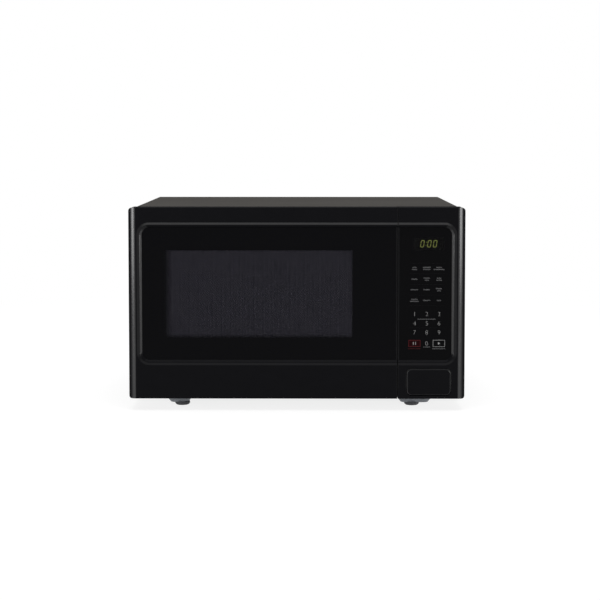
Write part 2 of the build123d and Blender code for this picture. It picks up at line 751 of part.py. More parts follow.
with BuildPart() as base_plate:
    base_y = (y_bay, y_rear - sheet)
    block((-bay_x, bay_x), base_y, (base_lift, base_top))
    for side in (-1, 1):
        flange_x = sorted((side * (bay_x - sheet), side * bay_x))
        block(flange_x, base_y, (base_lift, base_lift + base_flange))
    for spot in feet:
        long_side = boss_long if spot[0] > 0 else boss_length
        with BuildSketch(Plane.XY.offset(base_lift)):
            with Locations((spot[0] + math.copysign(boss_shift, spot[0]), spot[1])):
                SlotOverall(long_side, boss_width)
        extrude(amount=-boss_depth, taper=boss_taper)
    # The front bosses stop short of the front plate and the door
    block((-bay_x, bay_x), (y_front, y_bay), (0, base_top), mode=Mode.SUBTRACT)
    with BuildPart(mode=Mode.PRIVATE) as boss_pockets:
        for spot in feet:
            long_side = boss_long if spot[0] > 0 else boss_length
            with BuildSketch(Plane.XY.offset(base_top)):
                with Locations((spot[0] + math.copysign(boss_shift, spot[0]), spot[1])):
                    SlotOverall(long_side - 2 * sheet, boss_width - 2 * sheet)
            extrude(amount=-boss_depth, taper=boss_taper)
        block((-bay_x, bay_x), (y_front, y_bay + sheet), (0, 2 * base_top), mode=Mode.SUBTRACT)
    add(boss_pockets.part, mode=Mode.SUBTRACT)
    for spot in feet:
        disc(spot, foot_stem + seat_clear, (foot_height, foot_height + sheet), mode=Mode.SUBTRACT)
    with BuildSketch(Plane.XY.offset(base_lift)):
        with Locations((core_x[0], feet[3][1] - 2 * vent_length)):
            with GridLocations(vent_pitch, vent_length + vent_pitch, 9, 2):
                SlotOverall(vent_length, vent_width, rotation=90)
    extrude(amount=sheet, mode=Mode.SUBTRACT)

with BuildPart() as foot_set:
    for spot in feet:
        disc(spot, foot_radius, (0, foot_height))
        disc(spot, foot_stem, (foot_height, foot_height + sheet))
        disc(spot, foot_head, (foot_height + sheet, foot_height + sheet + foot_head_height))
    chamfer(foot_set.edges().group_by(Axis.Z)[0], foot_head_height)

with BuildPart() as outer_cover:
    with BuildSketch(facing(y_rear + sheet)) as cover_outline:
        with Locations((0, (base_lift + cover_top) / 2)):
            Rectangle(2 * cover_x, cover_top - base_lift)
        fillet(cover_outline.vertices().group_by(Axis.Y)[-1], cover_corner)
    extrude(amount=y_rear + sheet - y_plate)
    with BuildSketch(facing(y_rear)) as cover_inside:
        with Locations((0, (base_lift + bay_top) / 2)):
            Rectangle(2 * bay_x, bay_top - base_lift)
        fillet(cover_inside.vertices().group_by(Axis.Y)[-1], cover_corner - sheet)
    extrude(amount=y_rear - y_plate, mode=Mode.SUBTRACT)
    rear_x = (-cover_x + rear_flange, cover_x - rear_flange)
    block(rear_x, (y_rear, y_rear + sheet), (base_lift, cover_top - rear_flange), mode=Mode.SUBTRACT)
    for spot in cover_screw_spots:
        post(spot, screw_shank + seat_clear, (y_rear, y_rear + sheet), mode=Mode.SUBTRACT)
    for side_x in (-cover_x, bay_x):
        with BuildSketch(Plane.YZ.offset(side_x)):
            with Locations((middle(duct_y), middle(duct_z)), (y_rear - 2 * foot_rear, middle(guide_z))):
                with GridLocations(vent_pitch, vent_length + vent_pitch, 9, 2):
                    SlotOverall(vent_length, vent_width, rotation=90)
        extrude(amount=sheet, mode=Mode.SUBTRACT)

with BuildPart() as rear_panel:
    panel_z = (base_lift, bay_top)
    with BuildSketch(facing(y_rear)) as rear_outline:
        with Locations((0, middle(panel_z))):
            Rectangle(2 * bay_x, length(panel_z))
        fillet(rear_outline.vertices().group_by(Axis.Y)[-1], cover_corner - sheet)
    extrude(amount=sheet)
    with BuildSketch(facing(y_rear)):
        with Locations((-bump_x, bump_z), (bump_x, bump_z)):
            Circle(bump_radius)
    extrude(amount=-rear_bump, taper=boss_taper)
    with BuildSketch(facing(y_rear - sheet)):
        with Locations((-bump_x, bump_z), (bump_x, bump_z)):
            Circle(bump_radius - sheet)
    extrude(amount=-rear_bump, taper=boss_taper, mode=Mode.SUBTRACT)
    with BuildSketch(facing(y_rear)):
        with Locations(fan_spot):
            with GridLocations(vent_pitch, vent_length + vent_pitch, 11, 3):
                SlotOverall(vent_length, vent_width, rotation=90)
        with Locations(gland_spot):
            Circle(gland_radius)
        with Locations(*cover_screw_spots):
            Circle(screw_shank + seat_clear)
    extrude(amount=sheet, mode=Mode.SUBTRACT)

with BuildPart() as chassis_screws:
    for spot in cover_screw_spots:
        post(spot, screw_head, (y_rear + sheet, y_rear + sheet + screw_head_tall))
        post(spot, screw_shank, (y_rear + sheet - screw_length, y_rear + sheet))
    ear_z = (motor_z[1] - ear_thick, motor_z[1])
    for spot in ear_spots:
        disc(spot, screw_head, (ear_z[0] - screw_head_tall, ear_z[0]))
        disc(spot, screw_shank, (ear_z[0], track_z))

with BuildPart() as cord_gland:
    post(gland_spot, gland_flange, (y_rear, y_rear + screw_head_tall))
    post(gland_spot, gland_radius - seat_clear, (y_rear - sheet, y_rear))
    post(gland_spot, gland_flange, (y_rear - sheet - screw_head_tall, y_rear - sheet))
    gland_run = (y_rear - sheet - screw_head_tall, y_rear + screw_head_tall)
    post(gland_spot, gland_bore, gland_run, mode=Mode.SUBTRACT)

# Turntable
with BuildPart() as glass_tray:
    with BuildSketch(Plane.XZ.offset(-table_y)):
        with BuildLine():
            Polyline(
                (table_x, tray_z),
                (table_x + tray_foot, tray_z),
                (table_x + tray_radius, tray_z + tray_rim - tray_thick),
                (table_x + tray_radius, tray_z + tray_rim),
                (table_x + tray_radius - tray_thick, tray_z + tray_rim),
                (table_x + tray_foot - tray_thick / 2, tray_z + tray_thick),
                (table_x, tray_z + tray_thick),
                close=True,
            )
        make_face()
    revolve(axis=Axis((table_x, table_y, 0), (0, 0, 1)))
    with BuildSketch(Plane.XY.offset(tray_z - lug_height)):
        with Locations((table_x, table_y)):
            with PolarLocations((lug_inner + lug_outer) / 2, 3, start_angle=60):
                Rectangle(lug_outer - lug_inner, coupler_arm)
    extrude(amount=lug_height)

with BuildPart() as turntable_coupler:
    coupler_z = (tray_z - fit - coupler_height, tray_z - fit)
    disc((table_x, table_y), coupler_hub, coupler_z)
    with BuildSketch(Plane.XY.offset(coupler_z[0])):
        with Locations((table_x, table_y)):
            with PolarLocations(coupler_reach / 2, 3):
                Rectangle(coupler_reach, coupler_arm)
    extrude(amount=coupler_height)
    socket_z = (coupler_z[0], coupler_z[1] - fit)
    disc((table_x, table_y), shaft_radius + seat_clear, socket_z, mode=Mode.SUBTRACT)

with BuildPart() as turntable_shaft:
    disc((table_x, table_y), shaft_radius, (motor_z[0] + motor_height / 2, coupler_z[1] - 2 * fit))

with BuildPart() as turntable_motor:
    disc((table_x, table_y), motor_radius, motor_z)
    block((table_x - motor_ear, table_x + motor_ear), (table_y - ear_radius, table_y + ear_radius), ear_z)
    for spot in ear_spots:
        disc(spot, ear_radius, ear_z)
        disc(spot, screw_shank + seat_clear, ear_z, mode=Mode.SUBTRACT)
    shaft_z = (motor_z[0] + motor_height / 2 - fit, motor_z[1])
    disc((table_x, table_y), shaft_radius + running, shaft_z, mode=Mode.SUBTRACT)

with BuildPart() as roller_ring:
    ring_z = (roller_z - ring_height / 2, roller_z + ring_height / 2)
    disc((table_x, table_y), ring_outer, ring_z)
    disc((table_x, table_y), ring_inner, ring_z, mode=Mode.SUBTRACT)
    pin_run = ring_outer - ring_inner + 2 * ring_gap + roller_width
    cap_start = ring_inner + pin_run
    with Locations((table_x, table_y, roller_z)):
        with PolarLocations((ring_outer + cap_start) / 2 - ring_gap, 3):
            Cylinder(roller_pin, cap_start - ring_outer + 2 * ring_gap, rotation=(0, 90, 0))
        with PolarLocations(cap_start + pin_cap_thick / 2, 3):
            Cylinder(pin_cap, pin_cap_thick, rotation=(0, 90, 0))

rollers = []
for turn in (0, 120, 240):
    with BuildPart() as roller:
        with Locations(Location((table_x, table_y, roller_z), (0, 0, turn))):
            with Locations((roller_path, 0, 0)):
                Cylinder(roller_radius, roller_width, rotation=(0, 90, 0))
                Cylinder(roller_pin + running, roller_width, rotation=(0, 90, 0), mode=Mode.SUBTRACT)
    rollers.append(roller)

# Latch board, switches and lever
with BuildPart() as latch_board:
    board_z = (pivot_z - lever_hub - bay_gap, hook_high + switch_height)
    block(board_x, (y_bay, y_bay + board_depth), board_z)
    pin((pivot_y, pivot_z), lever_pin, (lever_x[0] - overshoot, board_x[0]))
    for low, hook_x in hooks:
        catch_z = (low - hook_barb - fit - catch_thick, low - hook_barb - fit)
        block((hook_x[0], board_x[0]), (y_bay, y_bay + catch_length), catch_z)

with BuildPart() as interlock_switches:
    for low, switch_x in switches:
        centre = (middle(switch_x), low + hook_arm / 2)
        body_z = (centre[1] - switch_height / 2, centre[1] + switch_height / 2)
        block(switch_x, (switch_front, switch_front + switch_depth), body_z)
        bore_y = (switch_front, switch_front + plunger_in + fit)
        post(centre, plunger_radius + running, bore_y, mode=Mode.SUBTRACT)

with BuildPart() as switch_plungers:
    for low, switch_x in switches:
        centre = (middle(switch_x), low + hook_arm / 2)
        post(centre, plunger_radius, (hook_tip + fit, switch_front + plunger_in))

with BuildPart() as release_lever:
    pin((pivot_y, pivot_z), lever_hub, lever_x)
    arm_half = lever_thick / 2 + overshoot
    tip_y = (pivot_y + lever_reach - lever_hub, pivot_y + lever_reach)
    block(lever_x, (pivot_y, tip_y[1]), (pivot_z - arm_half, pivot_z + arm_half))
    block(lever_x, tip_y, (pivot_z - arm_half, pivot_z + lever_rise))
    push_y = (pivot_y - lever_front, pivot_y - lever_front + lever_thick)
    push_span = (push_z - lever_hub, push_z + lever_hub)
    block(lever_x, push_y, (push_span[0], pivot_z))
    block((lever_x[0], stem_x[1] + overshoot), push_y, push_span)
    pin((pivot_y, pivot_z), lever_pin + running, lever_x, mode=Mode.SUBTRACT)

# Control panel
with BuildPart() as panel_housing:
    front_outline(y_plate)
    cut_recess()
    split(bisect_by=Plane.YZ.offset(x_panel), keep=Keep.TOP)
    hollow_rails((x_panel + skin, x_right - skin), (front_lift + skin, height - skin), y_plate)
    block((x_panel, x_panel + edge_rim), (y_floor, y_ledge), pane_z)
    with BuildSketch(facing(y_front + skin)):
        rounded(grown(button_x, button_clear), grown(button_z, button_clear), button_radius + button_clear)
    extrude(amount=skin + overshoot, mode=Mode.SUBTRACT)
    window_z = grown(display_span_z, fit)
    block(grown(display_span_x, fit), (y_ledge, y_hollow), window_z, mode=Mode.SUBTRACT)
    for spot in post_spots:
        post(spot, post_radius, (y_hollow - ledge_thick / 2, y_pcb))
    sill_x = (x_panel + skin, x_right - skin)
    block(sill_x, (y_plate - skin, y_plate), (front_lift + skin / 2, base_top + skin))
    rib_x = (spring_x - button_coil - skin, spring_x + button_coil + skin)
    block(rib_x, (seat_y, seat_y + skin), (front_lift + skin / 2, spring_z + button_coil + skin))

with BuildPart() as keypad_overlay:
    with BuildSketch(facing(y_ledge - membrane_thick)):
        rounded(grown(pane_x, -glass_clear), grown(pane_z, -glass_clear), pane_radius - glass_clear)
    extrude(amount=glass_thick - membrane_thick)
    split(bisect_by=Plane.YZ.offset(x_panel + edge_rim + glass_clear), keep=Keep.TOP)

with BuildPart() as membrane_switch:
    membrane_x = (x_panel + edge_rim + membrane_edge, pane_x[1] - membrane_edge)
    block(membrane_x, (y_ledge - membrane_thick, y_ledge), grown(pane_z, -membrane_edge))
    membrane_y = (y_ledge - membrane_thick, y_ledge)
    block(grown(display_span_x, fit), membrane_y, grown(display_span_z, fit), mode=Mode.SUBTRACT)

with BuildPart() as display_module:
    block(display_span_x, (y_ledge - membrane_thick, y_pcb), display_span_z)

with BuildPart() as control_board:
    block(pcb_x, (y_pcb, y_pcb + pcb_thick), pcb_z)

# Relays, transformer, buzzer block and driver on the back of the board: (across, up, wide, tall, deep)
board_parts = [
    (16.0, 30.0, 18.0, 28.0, 16.0),
    (42.0, 30.0, 18.0, 28.0, 16.0),
    (26.0, 80.0, 34.0, 40.0, 24.0),
    (62.0, 80.0, 14.0, 14.0, 9.0),
    (34.0, 130.0, 30.0, 10.0, 4.0),
]
with BuildPart() as board_components:
    for across, up, wide, tall, deep in board_parts:
        part_x = (pcb_x[0] + across - wide / 2, pcb_x[0] + across + wide / 2)
        part_z = (pcb_z[0] + up - tall / 2, pcb_z[0] + up + tall / 2)
        block(part_x, (y_pcb + pcb_thick, y_pcb + pcb_thick + deep), part_z)

with BuildPart() as release_button:
    with BuildSketch(facing(button_back)):
        rounded(button_x, button_z, button_radius)
    extrude(amount=button_depth)
    front_edge = release_button.faces().sort_by(Axis.Y)[0].edges()
    fillet(front_edge, button_wall / 2)
    with BuildSketch(facing(button_back)):
        rounded(grown(button_x, -button_wall), grown(button_z, -button_wall), button_radius - button_wall)
    extrude(amount=button_depth - button_wall, mode=Mode.SUBTRACT)
    ear_y = (y_front + skin + fit, y_front + skin + fit + button_wall)
    ear_span = (spring_z - button_ear * 2, spring_z + button_ear * 2)
    block((button_x[0] - button_ear, button_x[0] + button_wall), ear_y, ear_span)
    block((button_x[1] - button_wall, button_x[1] + button_ear), ear_y, ear_span)
    stem_z = (push_z - nose_radius, push_z + nose_radius)
    block(stem_x, (button_face + button_wall / 2, nose_y), stem_z)
    pin((nose_y, push_z), nose_radius, stem_x)

with BuildPart() as button_spring:
    coil_start = button_face + button_wall
    button_gap = coil((spring_x, coil_start, spring_z), (0, 1, 0), button_coil, seat_y - coil_start)

# Microwave feed
with BuildPart() as waveguide:
    block(guide_x, guide_y, guide_z)
    inside_x = (guide_x[0], guide_x[1] - sheet)
    block(inside_x, grown(guide_y, -sheet), grown(guide_z, -sheet), mode=Mode.SUBTRACT)
    pin(aerial, aerial_radius + seat_clear, (guide_x[1] - sheet, guide_x[1]), mode=Mode.SUBTRACT)

with BuildPart() as waveguide_cover:
    block((cavity_x[1] - mica_thick, cavity_x[1]), grown(feed_y, mica_lap), grown(feed_z, mica_lap))

with BuildPart() as magnetron_yoke:
    block(yoke_x, yoke_y, yoke_z)
    yoke_inside = grown(yoke_z, -yoke_plate)
    block(grown(yoke_x, -yoke_plate), grown(yoke_y, overshoot), yoke_inside, mode=Mode.SUBTRACT)
    pin(aerial, aerial_radius + seat_clear, (yoke_x[0], yoke_x[0] + yoke_plate), mode=Mode.SUBTRACT)

with BuildPart() as magnetron_anode:
    pin(aerial, anode_radius, grown(yoke_x, -yoke_plate))
    pin(aerial, aerial_radius, (yoke_x[0] - aerial_end, yoke_x[0] + yoke_plate))

with BuildPart() as magnetron_fins:
    fin_pitch = (yoke_wide - 2 * yoke_plate) / (fin_count + 1)
    for i in range(fin_count):
        fin_start = yoke_x[0] + yoke_plate + (i + 1) * fin_pitch
        fin_x = (fin_start, fin_start + fin_thick)
        block(fin_x, grown(yoke_y, -yoke_plate), grown(yoke_z, -yoke_plate))
        pin(aerial, anode_radius + seat_clear, fin_x, mode=Mode.SUBTRACT)

with BuildPart() as filter_box:
    filter_y = (aerial[0] - filter_long / 2, aerial[0] + filter_long / 2)
    filter_z = (aerial[1] - filter_tall / 2, aerial[1] + filter_tall / 2)
    block((yoke_x[1], yoke_x[1] + filter_wide), filter_y, filter_z)

# High voltage
with BuildPart() as transformer_core:
    block(core_x, core_y, core_z)
    for side in (-1, 1):
        window_mid = middle(core_y) + side * (core_limb + core_window) / 2
        window_y = (window_mid - core_window / 2, window_mid + core_window / 2)
        window_tall = (middle(core_z) - core_window_tall / 2, middle(core_z) + core_window_tall / 2)
        block(core_x, window_y, window_tall, mode=Mode.SUBTRACT)

with BuildPart() as transformer_coils:
    for low in (middle(core_z) - coil_clear - coil_tall, middle(core_z) + coil_clear):
        limb_y = (middle(core_y) - core_limb / 2, middle(core_y) + core_limb / 2)
        coil_z = (low, low + coil_tall)
        block(grown(core_x, coil_bulge), grown(limb_y, core_window - coil_clear), coil_z)
        block(grown(core_x, coil_clear), grown(limb_y, coil_clear), coil_z, mode=Mode.SUBTRACT)

with BuildPart() as high_voltage_capacitor:
    with BuildSketch(Plane.XY.offset(base_top)):
        with Locations(can_spot):
            SlotOverall(can_long, can_wide, rotation=90)
    extrude(amount=can_tall)
    for side in (-1, 1):
        terminal = (can_spot[0], can_spot[1] + side * can_long / 4)
        disc(terminal, can_terminal, (base_top + can_tall, base_top + can_tall + can_terminal_tall))

with BuildPart() as capacitor_clamp:
    with BuildSketch(Plane.XY.offset(base_top + clamp_low)):
        with Locations(can_spot):
            band = 2 * (seat_clear + clamp_thick)
            SlotOverall(can_long + band, can_wide + band, rotation=90)
            SlotOverall(can_long + 2 * seat_clear, can_wide + 2 * seat_clear, rotation=90, mode=Mode.SUBTRACT)
    extrude(amount=clamp_tall)
    strap_start = can_spot[1] + can_long / 2 + seat_clear
    strap_x = (can_spot[0] - clamp_tall / 2, can_spot[0] + clamp_tall / 2)
    block(strap_x, (strap_start, strap_start + clamp_thick), (base_top, base_top + clamp_low + clamp_tall))
    block(strap_x, (strap_start, strap_start + clamp_foot), (base_top, base_top + clamp_thick))

# Cooling
with BuildPart() as fan_bulkhead:
    block(bulkhead_x, bulkhead_y, bulkhead_z)
    post(fan_spot, shroud_radius, bulkhead_y, mode=Mode.SUBTRACT)
    arm_across = (fan_spot[0] - shroud_radius - overshoot, fan_spot[0] + shroud_radius + overshoot)
    arm_up = (fan_spot[1] - shroud_radius - overshoot, fan_spot[1] + shroud_radius + overshoot)
    half_arm = spider_arm / 2
    block(arm_across, bulkhead_y, (fan_spot[1] - half_arm, fan_spot[1] + half_arm))
    block((fan_spot[0] - half_arm, fan_spot[0] + half_arm), bulkhead_y, arm_up)
    post(fan_spot, fan_hub, bulkhead_y)
    shroud_y = (bulkhead_y[1], bulkhead_y[1] + shroud_depth)
    with BuildSketch(facing(shroud_y[1])):
        with Locations(fan_spot):
            Circle(shroud_radius + duct_wall)
            Circle(shroud_radius, mode=Mode.SUBTRACT)
    extrude(amount=shroud_depth)
    post(fan_spot, fan_axle + running, bulkhead_y, mode=Mode.SUBTRACT)

with BuildPart() as fan_motor:
    half_core = fan_core / 2
    core_across = (fan_spot[0] - half_core, fan_spot[0] + half_core)
    block(core_across, fan_core_y, (fan_spot[1] - half_core, fan_spot[1] + half_core))
    winding_z = (fan_spot[1] - half_core - fan_coil, fan_spot[1] - half_core)
    block(grown(core_across, -fan_coil), fan_core_y, winding_z)
    for side in (-1, 1):
        stand = (fan_spot[0] + side * (half_core - spider_arm), fan_spot[1])
        post(stand, half_arm, (fan_core_y[1], bulkhead_y[0]))
    post(fan_spot, fan_axle + running, fan_core_y, mode=Mode.SUBTRACT)

with BuildPart() as fan_shaft:
    post(fan_spot, fan_axle, (fan_core_y[0], blade_y[1]))

with BuildPart() as fan_impeller:
    post(fan_spot, fan_hub, blade_y)
    blade_chord = (fan_depth - 2 * blade_thick) / math.sin(math.radians(blade_pitch))
    blade_long = fan_radius - fan_hub + blade_thick
    for i in range(fan_blades):
        with Locations(Location((fan_spot[0], middle(blade_y), fan_spot[1]), (0, 360 / fan_blades * i, 0))):
            with Locations(Location((fan_radius - blade_long / 2, 0, 0), (blade_pitch, 0, 0))):
                Box(blade_long, blade_thick, blade_chord)
    post(fan_spot, fan_axle + seat_clear, blade_y, mode=Mode.SUBTRACT)

with BuildPart() as air_guide:
    block(duct_x, duct_y, duct_z)
    duct_inside_x = (duct_x[0], duct_x[1] - duct_wall)
    duct_inside_y = (duct_y[0] + duct_wall, duct_y[1])
    block(duct_inside_x, duct_inside_y, grown(duct_z, -duct_wall), mode=Mode.SUBTRACT)

# Small electrics
with BuildPart() as lamp_housing:
    block(lamp_x, lamp_y, lamp_z)
    lamp_inside = (lamp_x[0], lamp_x[1] - duct_wall)
    block(lamp_inside, grown(lamp_y, -duct_wall), grown(lamp_z, -duct_wall), mode=Mode.SUBTRACT)

with BuildPart() as cavity_lamp:
    lamp_spot = (middle(lamp_y), middle(lamp_z))
    pin(lamp_spot, lamp_radius, (lamp_x[1] - duct_wall - lamp_long, lamp_x[1] - duct_wall))
    fillet(cavity_lamp.faces().sort_by(Axis.X)[0].edges(), lamp_radius / 2)

with BuildPart() as filter_board:
    filter_board_x = (wall_x - bay_gap - filter_board_wide, wall_x - bay_gap)
    filter_board_end = cavity_y[1] - filter_board_rear
    filter_board_y = (filter_board_end - filter_board_long, filter_board_end)
    board_low = ceiling + filter_post
    block(filter_board_x, filter_board_y, (board_low, board_low + pcb_thick))
    for x in grown(filter_board_x, -post_inset):
        for y in grown(filter_board_y, -post_inset):
            disc((x, y), post_radius, (ceiling, board_low))
    ring_spot = (middle(filter_board_x), middle(filter_board_y))
    disc(ring_spot, choke_ring, (board_low + pcb_thick, board_low + pcb_thick + choke_ring_tall))

with BuildPart() as thermal_cutouts:
    disc((middle(yoke_x), aerial[0]), cutout_radius, (yoke_z[1], yoke_z[1] + cutout_tall))
    disc((table_x, table_y), cutout_radius, (ceiling, ceiling + cutout_tall))

pieces = {
    "door_frame": door_frame,
    "door_glass": door_glass,
    "choke_pan": choke_pan,
    "door_screws": door_screws,
    "inner_window": inner_window,
    "inner_cover": inner_cover,
    "hinge_bushes": hinge_bushes,
    "latch_key": latch_key,
    "latch_spring": latch_spring,
    "front_plate": front_plate,
    "lower_hinge": lower_hinge,
    "upper_hinge": upper_hinge,
    "cavity_wrap": cavity_wrap,
    "cavity_floor": cavity_floor,
    "cavity_back": cavity_back,
    "base_plate": base_plate,
    "feet": foot_set,
    "outer_cover": outer_cover,
    "rear_panel": rear_panel,
    "chassis_screws": chassis_screws,
    "cord_gland": cord_gland,
    "glass_tray": glass_tray,
    "turntable_coupler": turntable_coupler,
    "turntable_shaft": turntable_shaft,
    "turntable_motor": turntable_motor,
    "roller_ring": roller_ring,
    "roller_right": rollers[0],
    "roller_rear": rollers[1],
    "roller_front": rollers[2],
    "latch_board": latch_board,
    "interlock_switches": interlock_switches,
    "switch_plungers": switch_plungers,
    "release_lever": release_lever,
    "panel_housing": panel_housing,
    "keypad_overlay": keypad_overlay,
    "membrane_switch": membrane_switch,
    "display_module": display_module,
    "control_board": control_board,
    "board_components": board_components,
    "release_button": release_button,
    "button_spring": button_spring,
    "waveguide": waveguide,
    "waveguide_cover": waveguide_cover,
    "magnetron_yoke": magnetron_yoke,
    "magnetron_anode": magnetron_anode,
    "magnetron_fins": magnetron_fins,
    "filter_box": filter_box,
    "transformer_core": transformer_core,
    "transformer_coils": transformer_coils,
    "high_voltage_capacitor": high_voltage_capacitor,
    "capacitor_clamp": capacitor_clamp,
    "fan_bulkhead": fan_bulkhead,
    "fan_motor": fan_motor,
    "fan_shaft": fan_shaft,
    "fan_impeller": fan_impeller,
    "air_guide": air_guide,
    "lamp_housing": lamp_housing,
    "cavity_lamp": cavity_lamp,
    "filter_board": filter_board,
    "thermal_cutouts": thermal_cutouts,
}
for name, piece in pieces.items():
    piece.part.label = name
    export_step(piece.part, f"parts/{name}.step")
print(len(pieces), "pieces; least gaps between coil turns", round(latch_gap, 2), round(button_gap, 2))
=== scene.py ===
"""Dressed visual model of a countertop microwave oven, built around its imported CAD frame."""

import logging
import math
from dataclasses import dataclass, field, replace
from enum import Enum
from functools import cache
from typing import ClassVar, Iterable, Sequence

import bmesh
import bpy
from mathutils import Euler, Matrix, Vector


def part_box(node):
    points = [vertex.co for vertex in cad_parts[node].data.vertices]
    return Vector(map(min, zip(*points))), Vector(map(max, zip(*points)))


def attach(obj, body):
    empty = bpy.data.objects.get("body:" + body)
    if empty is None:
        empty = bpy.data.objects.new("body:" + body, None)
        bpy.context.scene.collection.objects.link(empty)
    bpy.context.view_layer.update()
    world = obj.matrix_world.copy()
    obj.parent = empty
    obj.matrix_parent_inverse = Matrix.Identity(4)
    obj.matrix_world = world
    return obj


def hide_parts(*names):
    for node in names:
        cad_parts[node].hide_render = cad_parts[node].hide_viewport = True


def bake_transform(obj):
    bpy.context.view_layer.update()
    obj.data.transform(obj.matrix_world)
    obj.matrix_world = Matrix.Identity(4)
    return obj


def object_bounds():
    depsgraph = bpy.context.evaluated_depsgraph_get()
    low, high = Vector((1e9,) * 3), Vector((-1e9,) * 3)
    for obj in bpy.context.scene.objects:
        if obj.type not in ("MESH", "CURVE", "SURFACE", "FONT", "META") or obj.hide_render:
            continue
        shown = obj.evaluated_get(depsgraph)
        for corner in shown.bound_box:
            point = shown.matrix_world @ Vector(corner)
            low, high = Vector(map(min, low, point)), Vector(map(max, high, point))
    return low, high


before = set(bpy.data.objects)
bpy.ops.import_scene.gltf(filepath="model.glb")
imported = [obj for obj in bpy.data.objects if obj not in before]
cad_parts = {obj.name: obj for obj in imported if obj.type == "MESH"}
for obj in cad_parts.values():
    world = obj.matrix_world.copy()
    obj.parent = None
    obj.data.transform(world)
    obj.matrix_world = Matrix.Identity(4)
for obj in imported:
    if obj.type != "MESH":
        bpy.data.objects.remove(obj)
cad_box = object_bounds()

log = logging.getLogger("microwave_oven")

MM = 0.001

Colour = tuple[float, float, float]
Point = tuple[float, float, float]
Span = tuple[float, float]


def spans_of(node: str) -> list[Span]:
    """Low and high end of a CAD node along X, Y and Z, in millimetres."""
    return [(low / MM, high / MM) for low, high in zip(*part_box(node))]


def drawn_in(span: Span, low: float, high: float | None = None) -> Span:
    """Span whose ends are drawn in, by low and high or both by low."""
    return span[0] + low, span[1] - (low if high is None else high)


def corners_of(across: Span, up: Span) -> list[Span]:
    """Corners of a rectangle, counter-clockwise from its lower left."""
    (left, right), (low, high) = across, up
    return [(left, low), (right, low), (right, high), (left, high)]


class Shader:
    """Node tree of one material or world, filled one node at a time."""

    def __init__(self, owner: bpy.types.ID) -> None:
        """Clear the owner's tree.

        Args:
            owner: Material or world that the nodes belong to.
        """
        owner.use_nodes = True
        self.tree = owner.node_tree
        self.tree.nodes.clear()

    def node(self, kind: str, settings: dict, sockets: dict) -> bpy.types.Node:
        """Add one node.

        Args:
            kind: Blender's name for the node's type.
            settings: Properties that are set before the sockets.
            sockets: Values or links by socket name, identifier or index.

        Returns:
            The new node.
        """
        made = self.tree.nodes.new(kind)
        for key, value in settings.items():
            setattr(made, key, value)
        for key, value in sockets.items():
            self.feed(find_socket(made.inputs, key), value)
        return made

    def feed(self, socket: bpy.types.NodeSocket, value: object) -> None:
        """Link or set one input socket.

        Args:
            socket: Input that takes the value.
            value: A Value, a number or a tuple.
        """
        if isinstance(value, Value):
            self.tree.links.new(value.socket, socket)
        elif socket.type == "RGBA" and len(value) == 3:
            socket.default_value = (*value, 1.0)
        else:
            socket.default_value = value

    def value(self, kind: str, settings: dict, sockets: dict, output: str | int = 0) -> "Value":
        """Add one node and wrap one of its outputs for maths."""
        made = self.node(kind, settings, sockets)
        return Value(self, find_socket(made.outputs, output))

    def place(self) -> "Value":
        """Position on the piece in metres, in the row frame at rest."""
        return self.value("ShaderNodeTexCoord", {}, {}, "Object")

    def axes(self, vector: "Value") -> list["Value"]:
        """X, Y and Z of a vector as values."""
        parts = self.node("ShaderNodeSeparateXYZ", {}, {0: vector})
        return [Value(self, output) for output in parts.outputs]

    def stretched(self, scale: Point) -> "Value":
        """Position on the piece, scaled along each axis."""
        return self.value("ShaderNodeVectorMath", {"operation": "MULTIPLY"}, {0: self.place(), 1: scale})

    def spot(self) -> list["Value"]:
        """X, Y and Z on the piece in millimetres."""
        return self.axes(self.stretched((1.0 / MM,) * 3))

    def noise(self, scale: float, detail: float = 2.0, place: "Value | None" = None) -> "Value":
        """Cloudy pattern between 0 and 1, of so many blotches per metre and octaves of finer pattern."""
        sockets = {"Vector": place or self.place(), "Scale": scale, "Detail": detail}
        return self.value("ShaderNodeTexNoise", {}, sockets, "Fac")

    def cells(self, scale: float) -> "Value":
        """Random grey that is even within each crystal cell, of so many cells per metre."""
        sockets = {"Vector": self.place(), "Scale": scale}
        return self.axes(self.value("ShaderNodeTexVoronoi", {}, sockets, "Color"))[0]

    def blend(self, mask: "Value", low: object, high: object) -> "Value":
        """Colour that goes from low to high as the mask goes from 0 to 1."""
        sockets = {"Factor_Float": mask, "A_Color": low, "B_Color": high}
        return self.value("ShaderNodeMix", {"data_type": "RGBA"}, sockets, "Result_Color")

    def layer(self, mask: "Value", low: "Value", high: "Value") -> "Value":
        """Surface that goes from low to high as the mask goes from 0 to 1."""
        return self.value("ShaderNodeMixShader", {}, {0: mask, 1: low, 2: high})

    def rounded(self, edge: float) -> "Value":
        """Normal whose edges are softened by a radius in millimetres."""
        return self.value("ShaderNodeBevel", {"samples": 4}, {"Radius": edge * MM})

    def relief(self, height: "Value", depth: float, edge: float) -> "Value":
        """Normal with a relief of some depth over edges of some radius, both in millimetres."""
        sockets = {"Height": height, "Distance": depth * MM, "Strength": 1.0, "Normal": self.rounded(edge)}
        return self.value("ShaderNodeBump", {}, sockets)

    def surface(self, sockets: dict) -> None:
        """Finish the tree with one principled surface."""
        made = self.value("ShaderNodeBsdfPrincipled", {}, sockets)
        self.node("ShaderNodeOutputMaterial", {}, {"Surface": made})


def find_socket(sockets: Iterable, key: str | int) -> bpy.types.NodeSocket:
    """Socket of a node's inputs or outputs, by index, identifier or name."""
    match = next((socket for socket in sockets if socket.identifier == key), None)
    return match or sockets[key]


